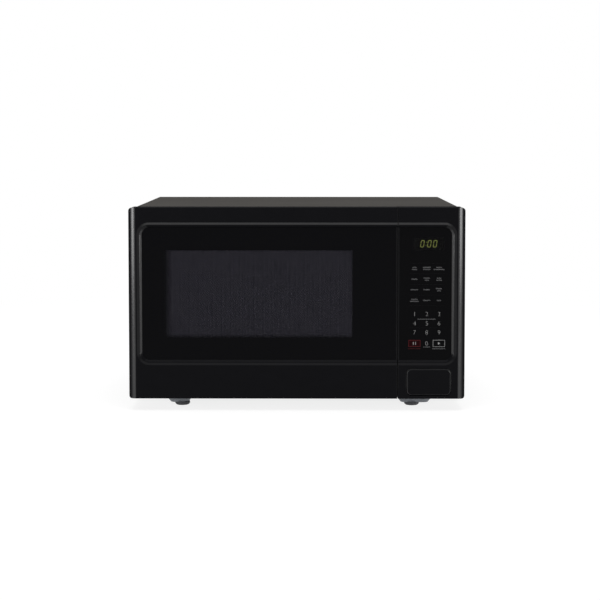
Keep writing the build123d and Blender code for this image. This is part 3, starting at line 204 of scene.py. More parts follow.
@dataclass(frozen=True)
class Value:
    """One socket that Python's arithmetic works on."""

    shader: Shader
    socket: bpy.types.NodeSocket

    def sum(self, operation: str, left: object, right: object) -> "Value":
        """Add a Math node on two operands, by Blender's name for the sum."""
        return self.shader.value("ShaderNodeMath", {"operation": operation}, {0: left, 1: right})

    def __add__(self, other: object) -> "Value":
        """Sum of two values."""
        return self.sum("ADD", self, other)

    def __radd__(self, other: object) -> "Value":
        """Sum of two values."""
        return self.sum("ADD", other, self)

    def __sub__(self, other: object) -> "Value":
        """Difference of two values."""
        return self.sum("SUBTRACT", self, other)

    def __rsub__(self, other: object) -> "Value":
        """Difference of two values."""
        return self.sum("SUBTRACT", other, self)

    def __mul__(self, other: object) -> "Value":
        """Product of two values."""
        return self.sum("MULTIPLY", self, other)

    def __rmul__(self, other: object) -> "Value":
        """Product of two values."""
        return self.sum("MULTIPLY", other, self)

    def __abs__(self) -> "Value":
        """Size without its sign."""
        return self.sum("ABSOLUTE", self, 0.0)

    def __mod__(self, other: object) -> "Value":
        """Remainder of a division."""
        return self.sum("FLOORED_MODULO", self, other)

    def capped(self) -> "Value":
        """Value that stops at 1."""
        return self.sum("MINIMUM", self, 1.0)

    def rise(self, low: float, high: float) -> "Value":
        """Smooth step from 0 at low to 1 at high."""
        sockets = {"Value": self, "From Min": low, "From Max": high}
        return self.shader.value("ShaderNodeMapRange", {"interpolation_type": "SMOOTHSTEP"}, sockets)

    def within(self, span: Span, soft: Span) -> "Value":
        """Window that is 1 inside a span and fades by soft to each side of its ends."""
        low, high = span
        return self.rise(low - soft[0], low + soft[0]) * (1.0 - self.rise(high - soft[1], high + soft[1]))


class Grain(Enum):
    """Patterns that the finishes of the oven's materials show."""

    SPARK = "texture of a spark-eroded mould"
    PEEL = "orange peel of sprayed paint"
    SPECKLE = "flecks in oven paint"
    SPANGLE = "crystals of a zinc coat"
    ROLLED = "fine rolling lines"
    LAYERED = "edges of stacked sheets"
    WOUND = "turns of wire"
    FLAKED = "flakes of mica"


@dataclass(frozen=True)
class Finish:
    """Procedural finish of one kind of piece, lengths in millimetres."""

    name: str
    colour: Colour
    second: Colour
    grain: Grain
    roughness: float = 0.45
    spread: float = 0.12
    metallic: float = 0.0
    specular: float = 0.3
    size: float = 0.5
    depth: float = 0.02
    edge: float = 0.3
    alpha: float = 1.0

    def pattern(self, shader: Shader) -> tuple[Value, Value]:
        """Tone and relief of the grain.

        Args:
            shader: Tree that takes the nodes.

        Returns:
            Tone and height, both between 0 and 1.
        """
        fine = 1.0 / (self.size * MM)
        if self.grain is Grain.SPARK:
            return shader.noise(0.02 * fine, 4.0), shader.noise(fine, 1.0)
        if self.grain is Grain.PEEL:
            return shader.noise(0.01 * fine, 5.0), shader.noise(0.4 * fine, 1.0)
        if self.grain is Grain.SPECKLE:
            return shader.noise(fine, 1.0).rise(0.5, 0.68), shader.noise(0.3 * fine, 2.0)
        if self.grain is Grain.SPANGLE:
            tone = 0.7 * shader.cells(fine) + 0.3 * shader.noise(8.0 * fine, 4.0)
            return tone, shader.noise(6.0 * fine, 3.0)
        if self.grain is Grain.ROLLED:
            painted_lit_streak = shader.noise(fine, 3.0, shader.stretched((0.02, 1.0, 1.0)))
            return painted_lit_streak, painted_lit_streak
        if self.grain is Grain.LAYERED:
            step = (shader.spot()[0] * (1.0 / self.size)) % 1.0
            return step.rise(0.0, 0.35), step.rise(0.0, 0.2)
        if self.grain is Grain.WOUND:
            turn = abs((shader.spot()[2] * (1.0 / self.size)) % 1.0 - 0.5) * 2.0
            return 1.0 - turn, 1.0 - turn * turn
        flake = 0.55 * shader.cells(fine) + 0.45 * shader.noise(fine, 5.0)
        return flake, shader.noise(3.0 * fine, 4.0)

    def sockets(self, shader: Shader) -> dict:
        """Sockets that this finish shares with the finishes made from it.

        Args:
            shader: Tree that takes the nodes.

        Returns:
            Values and links of the surface.
        """
        tone, height = self.pattern(shader)
        return {
            "Base Color": shader.blend(tone, self.colour, self.second),
            "Roughness": self.roughness + self.spread * (tone - 0.5),
            "Metallic": self.metallic,
            "Specular IOR Level": self.specular,
            "Alpha": self.alpha,
            "Normal": shader.relief(height, self.depth, self.edge),
        }

    def vary(self, shader: Shader, sockets: dict) -> None:
        """Change or add sockets, in the finishes made from this one."""

    def lay(self, shader: Shader) -> None:
        """Fill a material's tree.

        Args:
            shader: Tree that takes the nodes.
        """
        sockets = self.sockets(shader)
        self.vary(shader, sockets)
        shader.surface(sockets)


@dataclass(frozen=True)
class PaintedHighlightMoulding(Finish):
    """Satin moulding with painted highlights: its coat's weight is set by which way each face turns and where it
    lies.
    """

    coat_roughness: float = 0.2
    soft: float = 0.8
    rim: float = cad_box[1][0] / MM - 11.5
    lip: Span = (cad_box[0][1] / MM + 0.7, cad_box[0][1] / MM + 1.1)
    flat: float = 0.053
    gentle: float = 0.21
    steep: float = 0.54
    upper: float = 0.165
    lower: float = 0.75
    damp: float = 1.0
    top: float = 0.5
    wear: float = 0.15
    wear_scale: float = 90.0
    coat_ior: float = 1.6
    damp_turn: Span = (0.02, 0.16)
    top_turn: Span = (0.3, 0.8)
    edge_turn: tuple[Span, Span] = ((0.08, 0.46), (0.07, 0.26))
    gentle_turn: tuple[Span, Span] = ((0.17, 0.85), (0.07, 0.08))
    steep_turn: tuple[Span, Span] = ((0.56, 0.85), (0.08, 0.08))
    lower_turn: tuple[Span, Span] = ((0.23, 0.48), (0.05, 0.12))
    upper_turn: tuple[Span, Span] = ((0.16, 0.48), (0.06, 0.12))

    def painted_highlight(self, shader: Shader) -> Value:
        """Painted highlights: coat weight set by facing and place, on the upright outer edges, the slopes round the
        recess and the small edges.

        Args:
            shader: Tree that takes the nodes.

        Returns:
            Weight of the coat that paints the highlights.
        """
        settings = {"vector_type": "NORMAL", "convert_from": "WORLD", "convert_to": "OBJECT"}
        local = shader.value("ShaderNodeVectorTransform", settings, {0: shader.rounded(self.soft)})
        across, _, up = shader.axes(local)
        x, y, _ = shader.spot()
        side, down = abs(across), 0.0 - up
        # Painted highlights: the coat is weighted by the face's turn and place, not by a real change of finish.
        outer = abs(x).rise(self.rim - 0.5, self.rim + 0.5)
        edge = side.within(*self.edge_turn)
        slope = self.gentle * side.within(*self.gentle_turn) + self.steep * side.within(*self.steep_turn)
        slope = slope * (1.0 - self.damp * up.rise(*self.damp_turn))
        front = 1.0 - y.rise(*self.lip)
        band = self.lower * down.within(*self.lower_turn) + self.upper * up.within(*self.upper_turn)
        flat = self.flat * (1.0 - self.top * up.rise(*self.top_turn))
        return (flat + outer * edge + (1.0 - outer) * slope + front * band).capped()

    def vary(self, shader: Shader, sockets: dict) -> None:
        """Add the painted highlights as a coat that is also worn a little unevenly."""
        coat = self.painted_highlight(shader) * (1.0 - self.wear + self.wear * shader.noise(self.wear_scale, 3.0))
        sockets.update({"Coat Weight": coat, "Coat Roughness": self.coat_roughness, "Coat IOR": self.coat_ior})


@dataclass(frozen=True)
class PaintedSideSheen(Finish):
    """Matt paint with a painted sheen: a coat that is heavier where it faces sideways and fades on the top."""

    gloss: float = 0.3
    coat_roughness: float = 0.42
    top_turn: Span = (0.25, 0.8)

    def vary(self, shader: Shader, sockets: dict) -> None:
        """Add the painted sheen as a coat on the sides.

        Args:
            shader: Tree that takes the nodes.
            sockets: Values and links of the surface, changed in place.
        """
        up = abs(shader.axes(shader.value("ShaderNodeTexCoord", {}, {}, "Normal"))[2])
        # Painted sheen: the coat weight falls off as the face turns up.
        coat = self.gloss * (1.0 - up.rise(*self.top_turn))
        sockets.update({"Coat Weight": coat, "Coat Roughness": self.coat_roughness})


@dataclass(frozen=True)
class Windowed(Finish):
    """Dark pane with a clearer window in it, whose lighter, streaked colour partly paints in the lit layer seen
    behind it.
    """

    across: Span = (0.0, 0.0)
    up: Span = (0.0, 0.0)
    soft_across: Span = (1.0, 1.0)
    soft_up: Span = (1.0, 1.0)
    clear: float = 0.3
    tint: Colour = (0.004, 0.004, 0.005)
    painted_lit_streak: Colour = (0.004, 0.004, 0.005)
    pitches: Sequence[float] = (3.35, 4.27, 6.65)
    line: float = 0.44
    cloud: float = 0.32
    cloud_scale: float = 560.0
    cloud_stretch: Point = (1.0, 1.0, 0.08)
    cloud_turn: Span = (0.22, 0.78)

    def vary(self, shader: Shader, sockets: dict) -> None:
        """Let the window show through, with a painted tint of the lit layer behind it, in upright streaks.

        Args:
            shader: Tree that takes the nodes.
            sockets: Values and links of the surface, changed in place.
        """
        x, _, z = shader.spot()
        window = x.within(self.across, self.soft_across) * z.within(self.up, self.soft_up)
        # Painted light: the window's tint and streaks stand in for the lit screen behind the glass and soften its
        # shadow.
        cloud = shader.noise(self.cloud_scale, 1.0, shader.stretched(self.cloud_stretch))
        lines = self.cloud * cloud.rise(*self.cloud_turn)
        for pitch in self.pitches:
            lines += self.line * abs((x * (1.0 / pitch)) % 1.0 - 0.5)
        pane = shader.blend(lines, self.tint, self.painted_lit_streak)
        sockets["Base Color"] = shader.blend(window, sockets["Base Color"], pane)
        sockets["Alpha"] = 1.0 - (1.0 - self.clear) * window


@dataclass(frozen=True)
class ClearGlass(Finish):
    """Clear glass of some thickness."""

    ior: float = 1.5

    def vary(self, shader: Shader, sockets: dict) -> None:
        """Let light through."""
        sockets.update({"Transmission Weight": 1.0, "IOR": self.ior})


@dataclass(frozen=True)
class Glow(Finish):
    """Lit print."""

    strength: float = 1.0

    def vary(self, shader: Shader, sockets: dict) -> None:
        """Let the colour glow."""
        sockets.update({"Emission Color": sockets["Base Color"], "Emission Strength": self.strength})


@cache
def material_of(finish: Finish) -> bpy.types.Material:
    """Material of a finish, made once.

    Args:
        finish: Finish to lay.

    Returns:
        The material.
    """
    made = bpy.data.materials.new(finish.name)
    finish.lay(Shader(made))
    return made


# Front moulding with painted highlights on its outer edges and on the slopes round the recess.
FASCIA = PaintedHighlightMoulding(
    "satin_black_moulding", (0.0037, 0.0037, 0.0045), (0.0047, 0.0047, 0.0057), Grain.SPARK,
    roughness=0.36, spread=0.06, specular=0.0, size=0.4, depth=0.004, edge=0.5,
)
# Release button moulding, with stronger painted highlights round its edges.
BUTTON = replace(FASCIA, name="button_moulding", soft=1.5, gentle=0.9, steep=0.1, upper=0.8, damp=0.0)
# Door glass; its window carries a painted tint and streaks for the lit screen behind it.
DOOR_GLASS = Windowed(
    "printed_door_glass", (0.0018, 0.0018, 0.0024), (0.0024, 0.0024, 0.0030), Grain.PEEL,
    roughness=0.09, spread=0.02, specular=0.035, size=6.0, depth=0.002, edge=0.4,
    across=drawn_in(spans_of("door_glass")[0], 39.2, 63.8), up=drawn_in(spans_of("door_glass")[2], 35.0, 33.6),
    soft_across=(7.5, 1.0), soft_up=(4.0, 0.9), clear=0.6,
    tint=(0.0069, 0.0064, 0.0108), painted_lit_streak=(0.0366, 0.0354, 0.0432),
)
OVERLAY = Windowed(
    "keypad_film", (0.0017, 0.0017, 0.0021), (0.0022, 0.0022, 0.0026), Grain.PEEL,
    roughness=0.12, spread=0.03, specular=0.035, size=4.0, depth=0.003, edge=0.4,
    across=drawn_in(spans_of("display_module")[0], 1.0), up=drawn_in(spans_of("display_module")[2], 1.0), clear=0.7,
    tint=(0.0049, 0.0049, 0.0051), painted_lit_streak=(0.0053, 0.0053, 0.0055),
)
# Cover paint, with a painted sheen on its sides.
COVER_PAINT = PaintedSideSheen(
    "cover_paint", (0.066, 0.0625, 0.0585), (0.084, 0.0800, 0.0755), Grain.PEEL,
    roughness=0.7, spread=0.1, specular=0.0, size=1.2, edge=0.4,
)
ZINC = Finish(
    "zinc_coated_sheet", (0.37, 0.385, 0.40), (0.47, 0.485, 0.505), Grain.SPANGLE,
    roughness=0.42, spread=0.24, metallic=0.9, size=5.5, depth=0.008,
)
BASE_COAT = Finish(
    "grey_base_coat", (0.20, 0.212, 0.232), (0.27, 0.284, 0.308), Grain.SPANGLE,
    roughness=0.5, spread=0.15, metallic=0.3, size=8.0, depth=0.01,
)
BRIGHT_ZINC = Finish(
    "bright_zinc", (0.50, 0.51, 0.53), (0.66, 0.67, 0.69), Grain.ROLLED,
    roughness=0.32, spread=0.15, metallic=1.0, size=1.0, depth=0.005, edge=0.15,
)
ENAMEL = Finish(
    "oven_paint", (0.50, 0.50, 0.485), (0.58, 0.58, 0.565), Grain.SPECKLE,
    roughness=0.38, spread=0.1, specular=0.4, size=1.1, depth=0.015,
)
SCREEN_PAINT = Finish(
    "screen_paint", (0.030, 0.030, 0.034), (0.044, 0.044, 0.049), Grain.ROLLED,
    roughness=0.5, spread=0.1, size=2.0, depth=0.01, edge=0.15,
)
FILM = Finish(
    "clear_film", (0.03, 0.03, 0.032), (0.04, 0.04, 0.042), Grain.PEEL,
    roughness=0.1, spread=0.05, specular=0.5, size=8.0, depth=0.004, alpha=0.12,
)
MATT_BLACK = Finish(
    "matt_black_plastic", (0.014, 0.014, 0.015), (0.020, 0.020, 0.021), Grain.SPARK,
    roughness=0.55, spread=0.1, size=0.8, depth=0.03,
)
NATURAL = Finish(
    "natural_plastic", (0.62, 0.61, 0.56), (0.70, 0.69, 0.64), Grain.SPARK,
    roughness=0.42, spread=0.1, specular=0.45, size=0.7, depth=0.012,
)
FOOT = Finish(
    "foot_plastic", (0.055, 0.057, 0.062), (0.075, 0.077, 0.083), Grain.SPARK,
    roughness=0.6, size=0.6, depth=0.03,
)
SPRING = Finish(
    "spring_wire", (0.45, 0.45, 0.46), (0.62, 0.62, 0.63), Grain.ROLLED,
    roughness=0.28, spread=0.15, metallic=1.0, size=0.6, depth=0.004, edge=0.05,
)
TRAY_GLASS = ClearGlass(
    "tray_glass", (0.90, 0.955, 0.935), (0.93, 0.975, 0.96), Grain.PEEL,
    roughness=0.03, spread=0.02, specular=0.5, size=14.0, depth=0.01, edge=0.6,
)
LAMP_GLASS = ClearGlass(
    "lamp_glass", (0.94, 0.93, 0.88), (0.97, 0.96, 0.92), Grain.PEEL,
    roughness=0.05, spread=0.03, specular=0.5, size=5.0, depth=0.01,
)
SWITCH = Finish("switch_plastic", (0.035, 0.035, 0.042), (0.05, 0.05, 0.058), Grain.SPARK)
PLUNGER = Finish("red_plastic", (0.46, 0.045, 0.035), (0.56, 0.06, 0.05), Grain.SPARK, roughness=0.4)
MEMBRANE = Finish("membrane_film", (0.42, 0.42, 0.38), (0.50, 0.50, 0.46), Grain.PEEL, size=2.0)
DISPLAY = Finish(
    "display_lens", (0.004, 0.0045, 0.004), (0.006, 0.0065, 0.006), Grain.PEEL,
    roughness=0.2, spread=0.05, specular=0.1, size=4.0,
)
LAMINATE = Finish(
    "board_laminate", (0.24, 0.17, 0.075), (0.33, 0.245, 0.115), Grain.ROLLED, size=1.2, depth=0.01,
)
COMPONENT = Finish("component_black", (0.03, 0.03, 0.036), (0.045, 0.045, 0.052), Grain.SPARK, size=0.6)
MICA = Finish(
    "mica_sheet", (0.36, 0.31, 0.235), (0.54, 0.48, 0.385), Grain.FLAKED,
    roughness=0.42, spread=0.2, specular=0.45, size=7.0, depth=0.04,
)
COPPER = Finish(
    "copper_winding", (0.42, 0.185, 0.085), (0.66, 0.335, 0.18), Grain.WOUND,
    roughness=0.35, metallic=0.9, size=1.1, depth=0.25,
)
ALUMINIUM = Finish(
    "bare_aluminium", (0.62, 0.63, 0.645), (0.74, 0.75, 0.765), Grain.ROLLED,
    roughness=0.35, spread=0.15, metallic=1.0, size=1.0, depth=0.006,
)
LAMINATIONS = Finish(
    "varnished_laminations", (0.05, 0.05, 0.055), (0.13, 0.13, 0.14), Grain.LAYERED,
    roughness=0.42, metallic=0.6, depth=0.06,
)
BAY_PLASTIC = Finish(
    "grey_bay_plastic", (0.20, 0.21, 0.22), (0.26, 0.27, 0.28), Grain.SPARK, size=0.8, depth=0.03,
)
RUBBER = Finish(
    "gland_rubber", (0.018, 0.018, 0.018), (0.026, 0.026, 0.026), Grain.SPARK,
    roughness=0.62, depth=0.03,
)
PALE_INK = Finish(
    "pale_print", (0.30, 0.30, 0.30), (0.37, 0.37, 0.37), Grain.SPARK,
    specular=0.05, size=0.2, depth=0.001,
)
GREY_INK = replace(PALE_INK, name="grey_print", colour=(0.155, 0.155, 0.16), second=(0.205, 0.205, 0.21))
FAINT_INK = Finish(
    "faint_print", (0.0046, 0.0046, 0.0052), (0.0060, 0.0060, 0.0066), Grain.SPARK, specular=0.03, size=0.2,
)
RED_INK = replace(FAINT_INK, name="red_print", colour=(0.074, 0.010, 0.012), second=(0.088, 0.013, 0.015))
DARK_RED_INK = replace(
    FAINT_INK, name="dark_red_print", colour=(0.0095, 0.0009, 0.0013), second=(0.0120, 0.0012, 0.0016),
)
LIT_SEGMENT = Glow(
    "lit_segment", (0.50, 0.57, 0.14), (0.56, 0.63, 0.16), Grain.SPARK, specular=0.05, size=0.3, strength=0.8,
)


def between(low: Sequence, high: Sequence) -> Iterable[tuple]:
    """Corners of each face between two closed rings of as many points."""
    return zip(low, [*low[1:], low[0]], [*high[1:], high[0]], high)


def linked(name: str, data: bpy.types.ID) -> bpy.types.Object:
    """New object in the scene.

    Args:
        name: Name of the object.
        data: Mesh, curve, lamp or camera that it shows.

    Returns:
        The object.
    """
    made = bpy.data.objects.new(name, data)
    bpy.context.scene.collection.objects.link(made)
    return made


def melted(made: bpy.types.Object) -> bpy.types.Mesh:
    """Turn an object with its modifiers into a plain mesh.

    Args:
        made: Object that is given up for the mesh.

    Returns:
        The mesh.
    """
    mesh = bpy.data.meshes.new_from_object(made.evaluated_get(bpy.context.evaluated_depsgraph_get()))
    bpy.data.objects.remove(made)
    return mesh


class Facets:
    """Faces in millimetres that share their corners and become one piece."""

    def __init__(self) -> None:
        """Start with no faces."""
        self.corners: dict[Point, int] = {}
        self.faces: list[list[int]] = []

    def face(self, points: Iterable[Point]) -> None:
        """Add one face from its corners in order."""
        keys = (tuple(round(c, 4) for c in point) for point in points)
        self.faces.append([self.corners.setdefault(key, len(self.corners)) for key in keys])

    def tube(self, rings: Sequence[Sequence[Point]]) -> None:
        """Add a closed form with a flat face at each end.

        Args:
            rings: Points round each ring, counter-clockwise seen from the far end.
        """
        self.face(reversed(rings[0]))
        self.face(rings[-1])
        for low, high in zip(rings, rings[1:]):
            for corners in between(low, high):
                self.face(corners)

    def add_mesh(self, mesh: bpy.types.Mesh, matrix: Matrix) -> None:
        """Add a copy of a mesh that is in millimetres.

        Args:
            mesh: Mesh to copy.
            matrix: Where the copy goes.
        """
        spots = [tuple(matrix @ vertex.co) for vertex in mesh.vertices]
        for polygon in mesh.polygons:
            self.face(spots[i] for i in polygon.vertices)

    def piece(self, name: str, finish: Finish, smooth: float = 0.0) -> bpy.types.Object:
        """Piece made of the faces.

        Args:
            name: Name of the piece.
            finish: Finish of all its faces.
            smooth: Edges flatter than this many degrees are shaded smooth.

        Returns:
            The piece, linked to the scene.
        """
        mesh = bpy.data.meshes.new(name)
        mesh.from_pydata(list(self.corners), [], self.faces)
        mesh.update()
        mesh.transform(Matrix.Scale(MM, 4))
        if smooth:
            mesh.polygons.foreach_set("use_smooth", [True] * len(mesh.polygons))
            mesh.set_sharp_from_angle(angle=math.radians(smooth))
        mesh.materials.append(material_of(finish))
        return linked(name, mesh)


def ring_points(radius: float, height: float, count: int) -> list[Point]:
    """Points round the Z axis in order."""
    turns = [2.0 * math.pi * i / count for i in range(count)]
    return [(radius * math.cos(t), radius * math.sin(t), height) for t in turns]


def turned(profile: Sequence[Span], count: int) -> Facets:
    """Closed form turned round the Z axis.

    Args:
        profile: Radius and height of each ring, from the lower middle to the upper middle.
        count: Points round each ring.

    Returns:
        The faces.
    """
    form = Facets()
    form.tube([ring_points(radius, height, count) for radius, height in profile])
    return form


def block(size: Point, middle: Point, foot: float = 1.0, bevel: float = 0.0) -> bpy.types.Mesh:
    """Block that is part of a larger form, in millimetres.

    Args:
        size: Width, depth and height.
        middle: Middle of the block.
        foot: Share of its X that the lower end keeps.
        bevel: Width of its rounded edges.

    Returns:
        The mesh.
    """
    form = bmesh.new()
    bmesh.ops.create_cube(form, size=1.0, matrix=Matrix.Translation(middle) @ Matrix.Diagonal((*size, 1.0)))
    for vertex in form.verts:
        if vertex.co.z < middle[2]:
            vertex.co.x *= foot
    if bevel:
        bmesh.ops.bevel(form, geom=form.edges[:], offset=bevel, segments=2, affect="EDGES", profile=0.5)
    made = bpy.data.meshes.new("block")
    form.to_mesh(made)
    form.free()
    return made


def turn_z(degrees: float) -> Matrix:
    """Turn round the Z axis."""
    return Matrix.Rotation(math.radians(degrees), 4, "Z")


def settle(piece: bpy.types.Object, body: str, nodes: Sequence[str] = ()) -> None:
    """Give a piece its body and the nodes that it stands for.

    Args:
        piece: Finished piece, in place.
        body: CAD body that carries it.
        nodes: CAD nodes that it replaces.
    """
    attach(piece, body)
    if nodes:
        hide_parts(*nodes)
    log.info("piece %s on %s", piece.name, body)


class Assembly:
    """Sub-assembly of the oven or its surroundings, with the names of the CAD nodes that take each finish."""

    finishes: ClassVar[dict[Finish, Sequence[str]]] = {}

    def build(self) -> None:
        """Make the pieces that are added to the CAD nodes."""

    def dress(self) -> None:
        """Give the CAD nodes their finishes."""
        for finish, names in self.finishes.items():
            for name in names:
                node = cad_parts[name]
                node.data.materials.clear()
                node.data.materials.append(material_of(finish))
                log.info("node %s in %s", name, finish.name)


@dataclass
class Screws:
    """Set of cross-recess screws, sizes in millimetres."""

    name: str
    node: str
    body: str
    spots: Sequence[tuple[Point, Point]]
    head: float = 4.0
    head_tall: float = 2.0
    shank: float = 1.6
    length: float = 8.0
    recess: float = 2.3
    recess_deep: float = 1.6
    recess_foot: float = 0.35
    slot_wide: float = 0.8
    tip: Span = (0.4, 1.2)
    dome: Sequence[Span] = ((1.0, 0.0), (1.0, 0.35), (0.93, 0.65), (0.75, 0.88), (0.5, 1.0))
    centre: float = 0.02

    def template(self) -> bpy.types.Mesh:
        """One screw that stands on the XY plane with its head up.

        Returns:
            The mesh, in millimetres.
        """
        tall = self.head_tall
        share, rise = self.tip
        profile = [(share * self.shank, -self.length), (self.shank, rise - self.length), (self.shank, 0.0)]
        profile += [(out * self.head, up * tall) for out, up in self.dome]
        body = turned(profile + [(self.centre, tall)], 28).piece("screw_body", BRIGHT_ZINC)
        cross = Facets()
        arm = block((2.0 * self.recess, self.slot_wide, self.recess_deep), (0.0, 0.0, tall), self.recess_foot)
        for turn in (0, 90):
            cross.add_mesh(arm, turn_z(turn))
        cutter = cross.piece("screw_cross", BRIGHT_ZINC)
        cut = body.modifiers.new("recess", "BOOLEAN")
        cut.operation, cut.object, cut.solver, cut.use_self = "DIFFERENCE", cutter, "EXACT", True
        shape = melted(body)
        shape.transform(Matrix.Scale(1.0 / MM, 4))
        bpy.data.objects.remove(cutter)
        return shape

    def build(self) -> None:
        """Place the screws in one piece that stands for their node."""
        template = self.template()
        group = Facets()
        for spot, axis in self.spots:
            turn = Vector(axis).to_track_quat("Z", "Y").to_matrix().to_4x4()
            group.add_mesh(template, Matrix.Translation(spot) @ turn)
        settle(group.piece(self.name, BRIGHT_ZINC, smooth=35.0), self.body, [self.node])


@dataclass
class Spring:
    """Coil spring between two bodies, sizes in millimetres."""

    name: str
    node: str
    bodies: tuple[str, str]
    along: int
    turns: float = 6.0
    wire: float = 0.4
    steps: int = 28
    sides: int = 8

    def build(self) -> None:
        """Wind the coil in the space of its node and hide the node."""
        bottom, top = (Vector(corner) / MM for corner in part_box(self.node))
        middle = Vector([float(i == self.along) for i in range(3)])
        low = (bottom + top) / 2.0
        low[self.along] = bottom[self.along]
        run = top[self.along] - bottom[self.along]
        across = (self.along + 1) % 3
        radius = (top[across] - bottom[across]) / 2.0 - self.wire
        count = int(self.turns * self.steps)
        first = Vector((1.0, 0.0, 0.0))
        second = middle.cross(first)
        rings = []
        for i in range(count + 1):
            share = i / count
            turn = 2.0 * math.pi * self.turns * share
            out = first * math.cos(turn) + second * math.sin(turn)
            spot = low + middle * (self.wire + share * (run - 2.0 * self.wire)) + out * radius
            ring = ring_points(self.wire, 0.0, self.sides)
            rings.append([tuple(spot + out * near + middle * rise) for near, rise, _ in reversed(ring)])
        coil = Facets()
        coil.tube(rings)
        piece = coil.piece(self.name, SPRING, smooth=50.0)
        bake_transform(piece)
        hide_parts(self.node)
        log.info("piece %s between %s and %s", self.name, *self.bodies)


@dataclass
class ScreenPan:
    """Door's choke pan with its toothed rim and perforated screen, sizes in millimetres."""

    sheet: float = 0.8
    channel: float = 22.0
    step: float = 1.5
    slot_foot: float = 2.6
    slot: float = 5.0
    pitch: float = 18.0
    bend: float = 1.0
    margin: float = 5.0
    hole_pitch: float = 2.4
    hole_radius: float = 0.88
    row_share: float = 0.866

    def __post_init__(self) -> None:
        """Take the middle of the sheet from the node that the pan stands for."""
        half = self.sheet / 2.0
        across, (bottom, self.rim), up = spans_of("choke_pan")
        self.across, self.up = drawn_in(across, half), drawn_in(up, half)
        self.raised_across, self.raised_up = drawn_in(self.across, self.channel), drawn_in(self.up, self.channel)
        self.floor = bottom + half
        self.slot_end = self.floor + self.slot_foot
        self.face = self.rim - self.step - half
        self.screen_across = drawn_in(DOOR_GLASS.across, -self.margin)
        self.screen_up = drawn_in(DOOR_GLASS.up, -self.margin)

    def stops(self, span: Span) -> list[float]:
        """Ends of the teeth along one side.

        Args:
            span: Low and high end of the side.

        Returns:
            Both corners and every slot's two edges, in order.
        """
        count = int((span[1] - span[0]) / self.pitch) - 1
        start = (span[0] + span[1] - (count - 1) * self.pitch) / 2.0
        marks = [span[0]]
        for i in range(count):
            marks += [start + i * self.pitch - self.slot / 2.0, start + i * self.pitch + self.slot / 2.0]
        return marks + [span[1]]

    def corners(self, across: Span, up: Span, depth: float) -> list[Point]:
        """Four corners of an upright rectangle, round it from its lower left."""
        return [(x, depth, z) for x, z in corners_of(across, up)]

    def rim_side(self, pan: Facets, start: Point, end: Point, marks: list[float]) -> list[Point]:
        """Toothed wall along one side of the pan.

        Args:
            pan: Faces that take the wall.
            start: Corner where the side starts, on the floor.
            end: Corner where the side ends, on the floor.
            marks: Stops along the side.

        Returns:
            Points along the foot of the wall.
        """
        shares = [(mark - marks[0]) / (marks[-1] - marks[0]) for mark in marks]
        feet = [tuple(a + (b - a) * share for a, b in zip(start, end)) for share in shares]
        for i, (a, b) in enumerate(zip(feet, feet[1:])):
            low_a, low_b = (a[0], self.slot_end, a[2]), (b[0], self.slot_end, b[2])
            pan.face((a, b, low_b, low_a))
            if i % 2 == 0:
                pan.face((low_a, low_b, (b[0], self.rim, b[2]), (a[0], self.rim, a[2])))
        return feet

    def perforate(self, pan: Facets) -> list[list[Point]]:
        """Staggered holes over the screen.

        Args:
            pan: Faces that take the screen.

        Returns:
            Points along the lower, right, upper and left edge of the screen, in order round it.
        """
        (left, right), (low, high) = self.screen_across, self.screen_up
        half = self.hole_pitch / 2.0
        columns = int((right - left) / half) // 2 * 2
        rows = int((high - low) / (self.row_share * self.hole_pitch))
        tall = (high - low) / rows
        half = (right - left) / columns

        def spot(k: int, j: int) -> Point:
            """Lattice point at half column k and row j."""
            return (left + k * half, self.face, low + j * tall)

        turns = [math.radians(210 + 60 * i) for i in range(6)]
        for j in range(rows):
            first = j % 2
            if first:
                pan.face((spot(0, j), spot(1, j), spot(1, j + 1), spot(0, j + 1)))
                end = columns - 1
                pan.face((spot(end, j), spot(end + 1, j), spot(end + 1, j + 1), spot(end, j + 1)))
            for k in range(first, columns - 1, 2):
                outer = [spot(k + i, j) for i in range(3)] + [spot(k + i, j + 1) for i in (2, 1, 0)]
                x, _, z = spot(k + 1, j)
                hole = [
                    (x + self.hole_radius * math.cos(t), self.face, z + tall / 2.0 + self.hole_radius * math.sin(t))
                    for t in turns
                ]
                for corners in between(outer, hole):
                    pan.face(corners)
        return [
            [spot(k, 0) for k in range(columns + 1)],
            [spot(columns, j) for j in range(rows + 1)],
            [spot(k, rows) for k in range(columns, -1, -1)],
            [spot(0, j) for j in range(rows, -1, -1)],
        ]

    def build(self) -> None:
        """Fold the pan and place it in the door."""
        pan = Facets()
        outer = self.corners(self.across, self.up, self.floor)
        inner = self.corners(self.raised_across, self.raised_up, self.floor)
        top = self.corners(self.raised_across, self.raised_up, self.face)
        edges = self.perforate(pan)
        for i in range(4):
            n = (i + 1) % 4
            marks = self.stops(self.up if i % 2 else self.across)
            feet = self.rim_side(pan, outer[i], outer[n], marks)
            pan.face([*reversed(feet), inner[i], inner[n]])
            pan.face((inner[i], inner[n], top[n], top[i]))
            pan.face([top[i], top[n], *reversed(edges[i])])
        piece = pan.piece("perforated_choke_pan", SCREEN_PAINT, smooth=35.0)
        fold = piece.modifiers.new("fold", "BEVEL")
        fold.width, fold.segments, fold.limit_method = self.bend * MM, 3, "ANGLE"
        gauge = piece.modifiers.new("gauge", "SOLIDIFY")
        gauge.thickness, gauge.offset = self.sheet * MM, 0.0
        settle(piece, "door", ["choke_pan"])


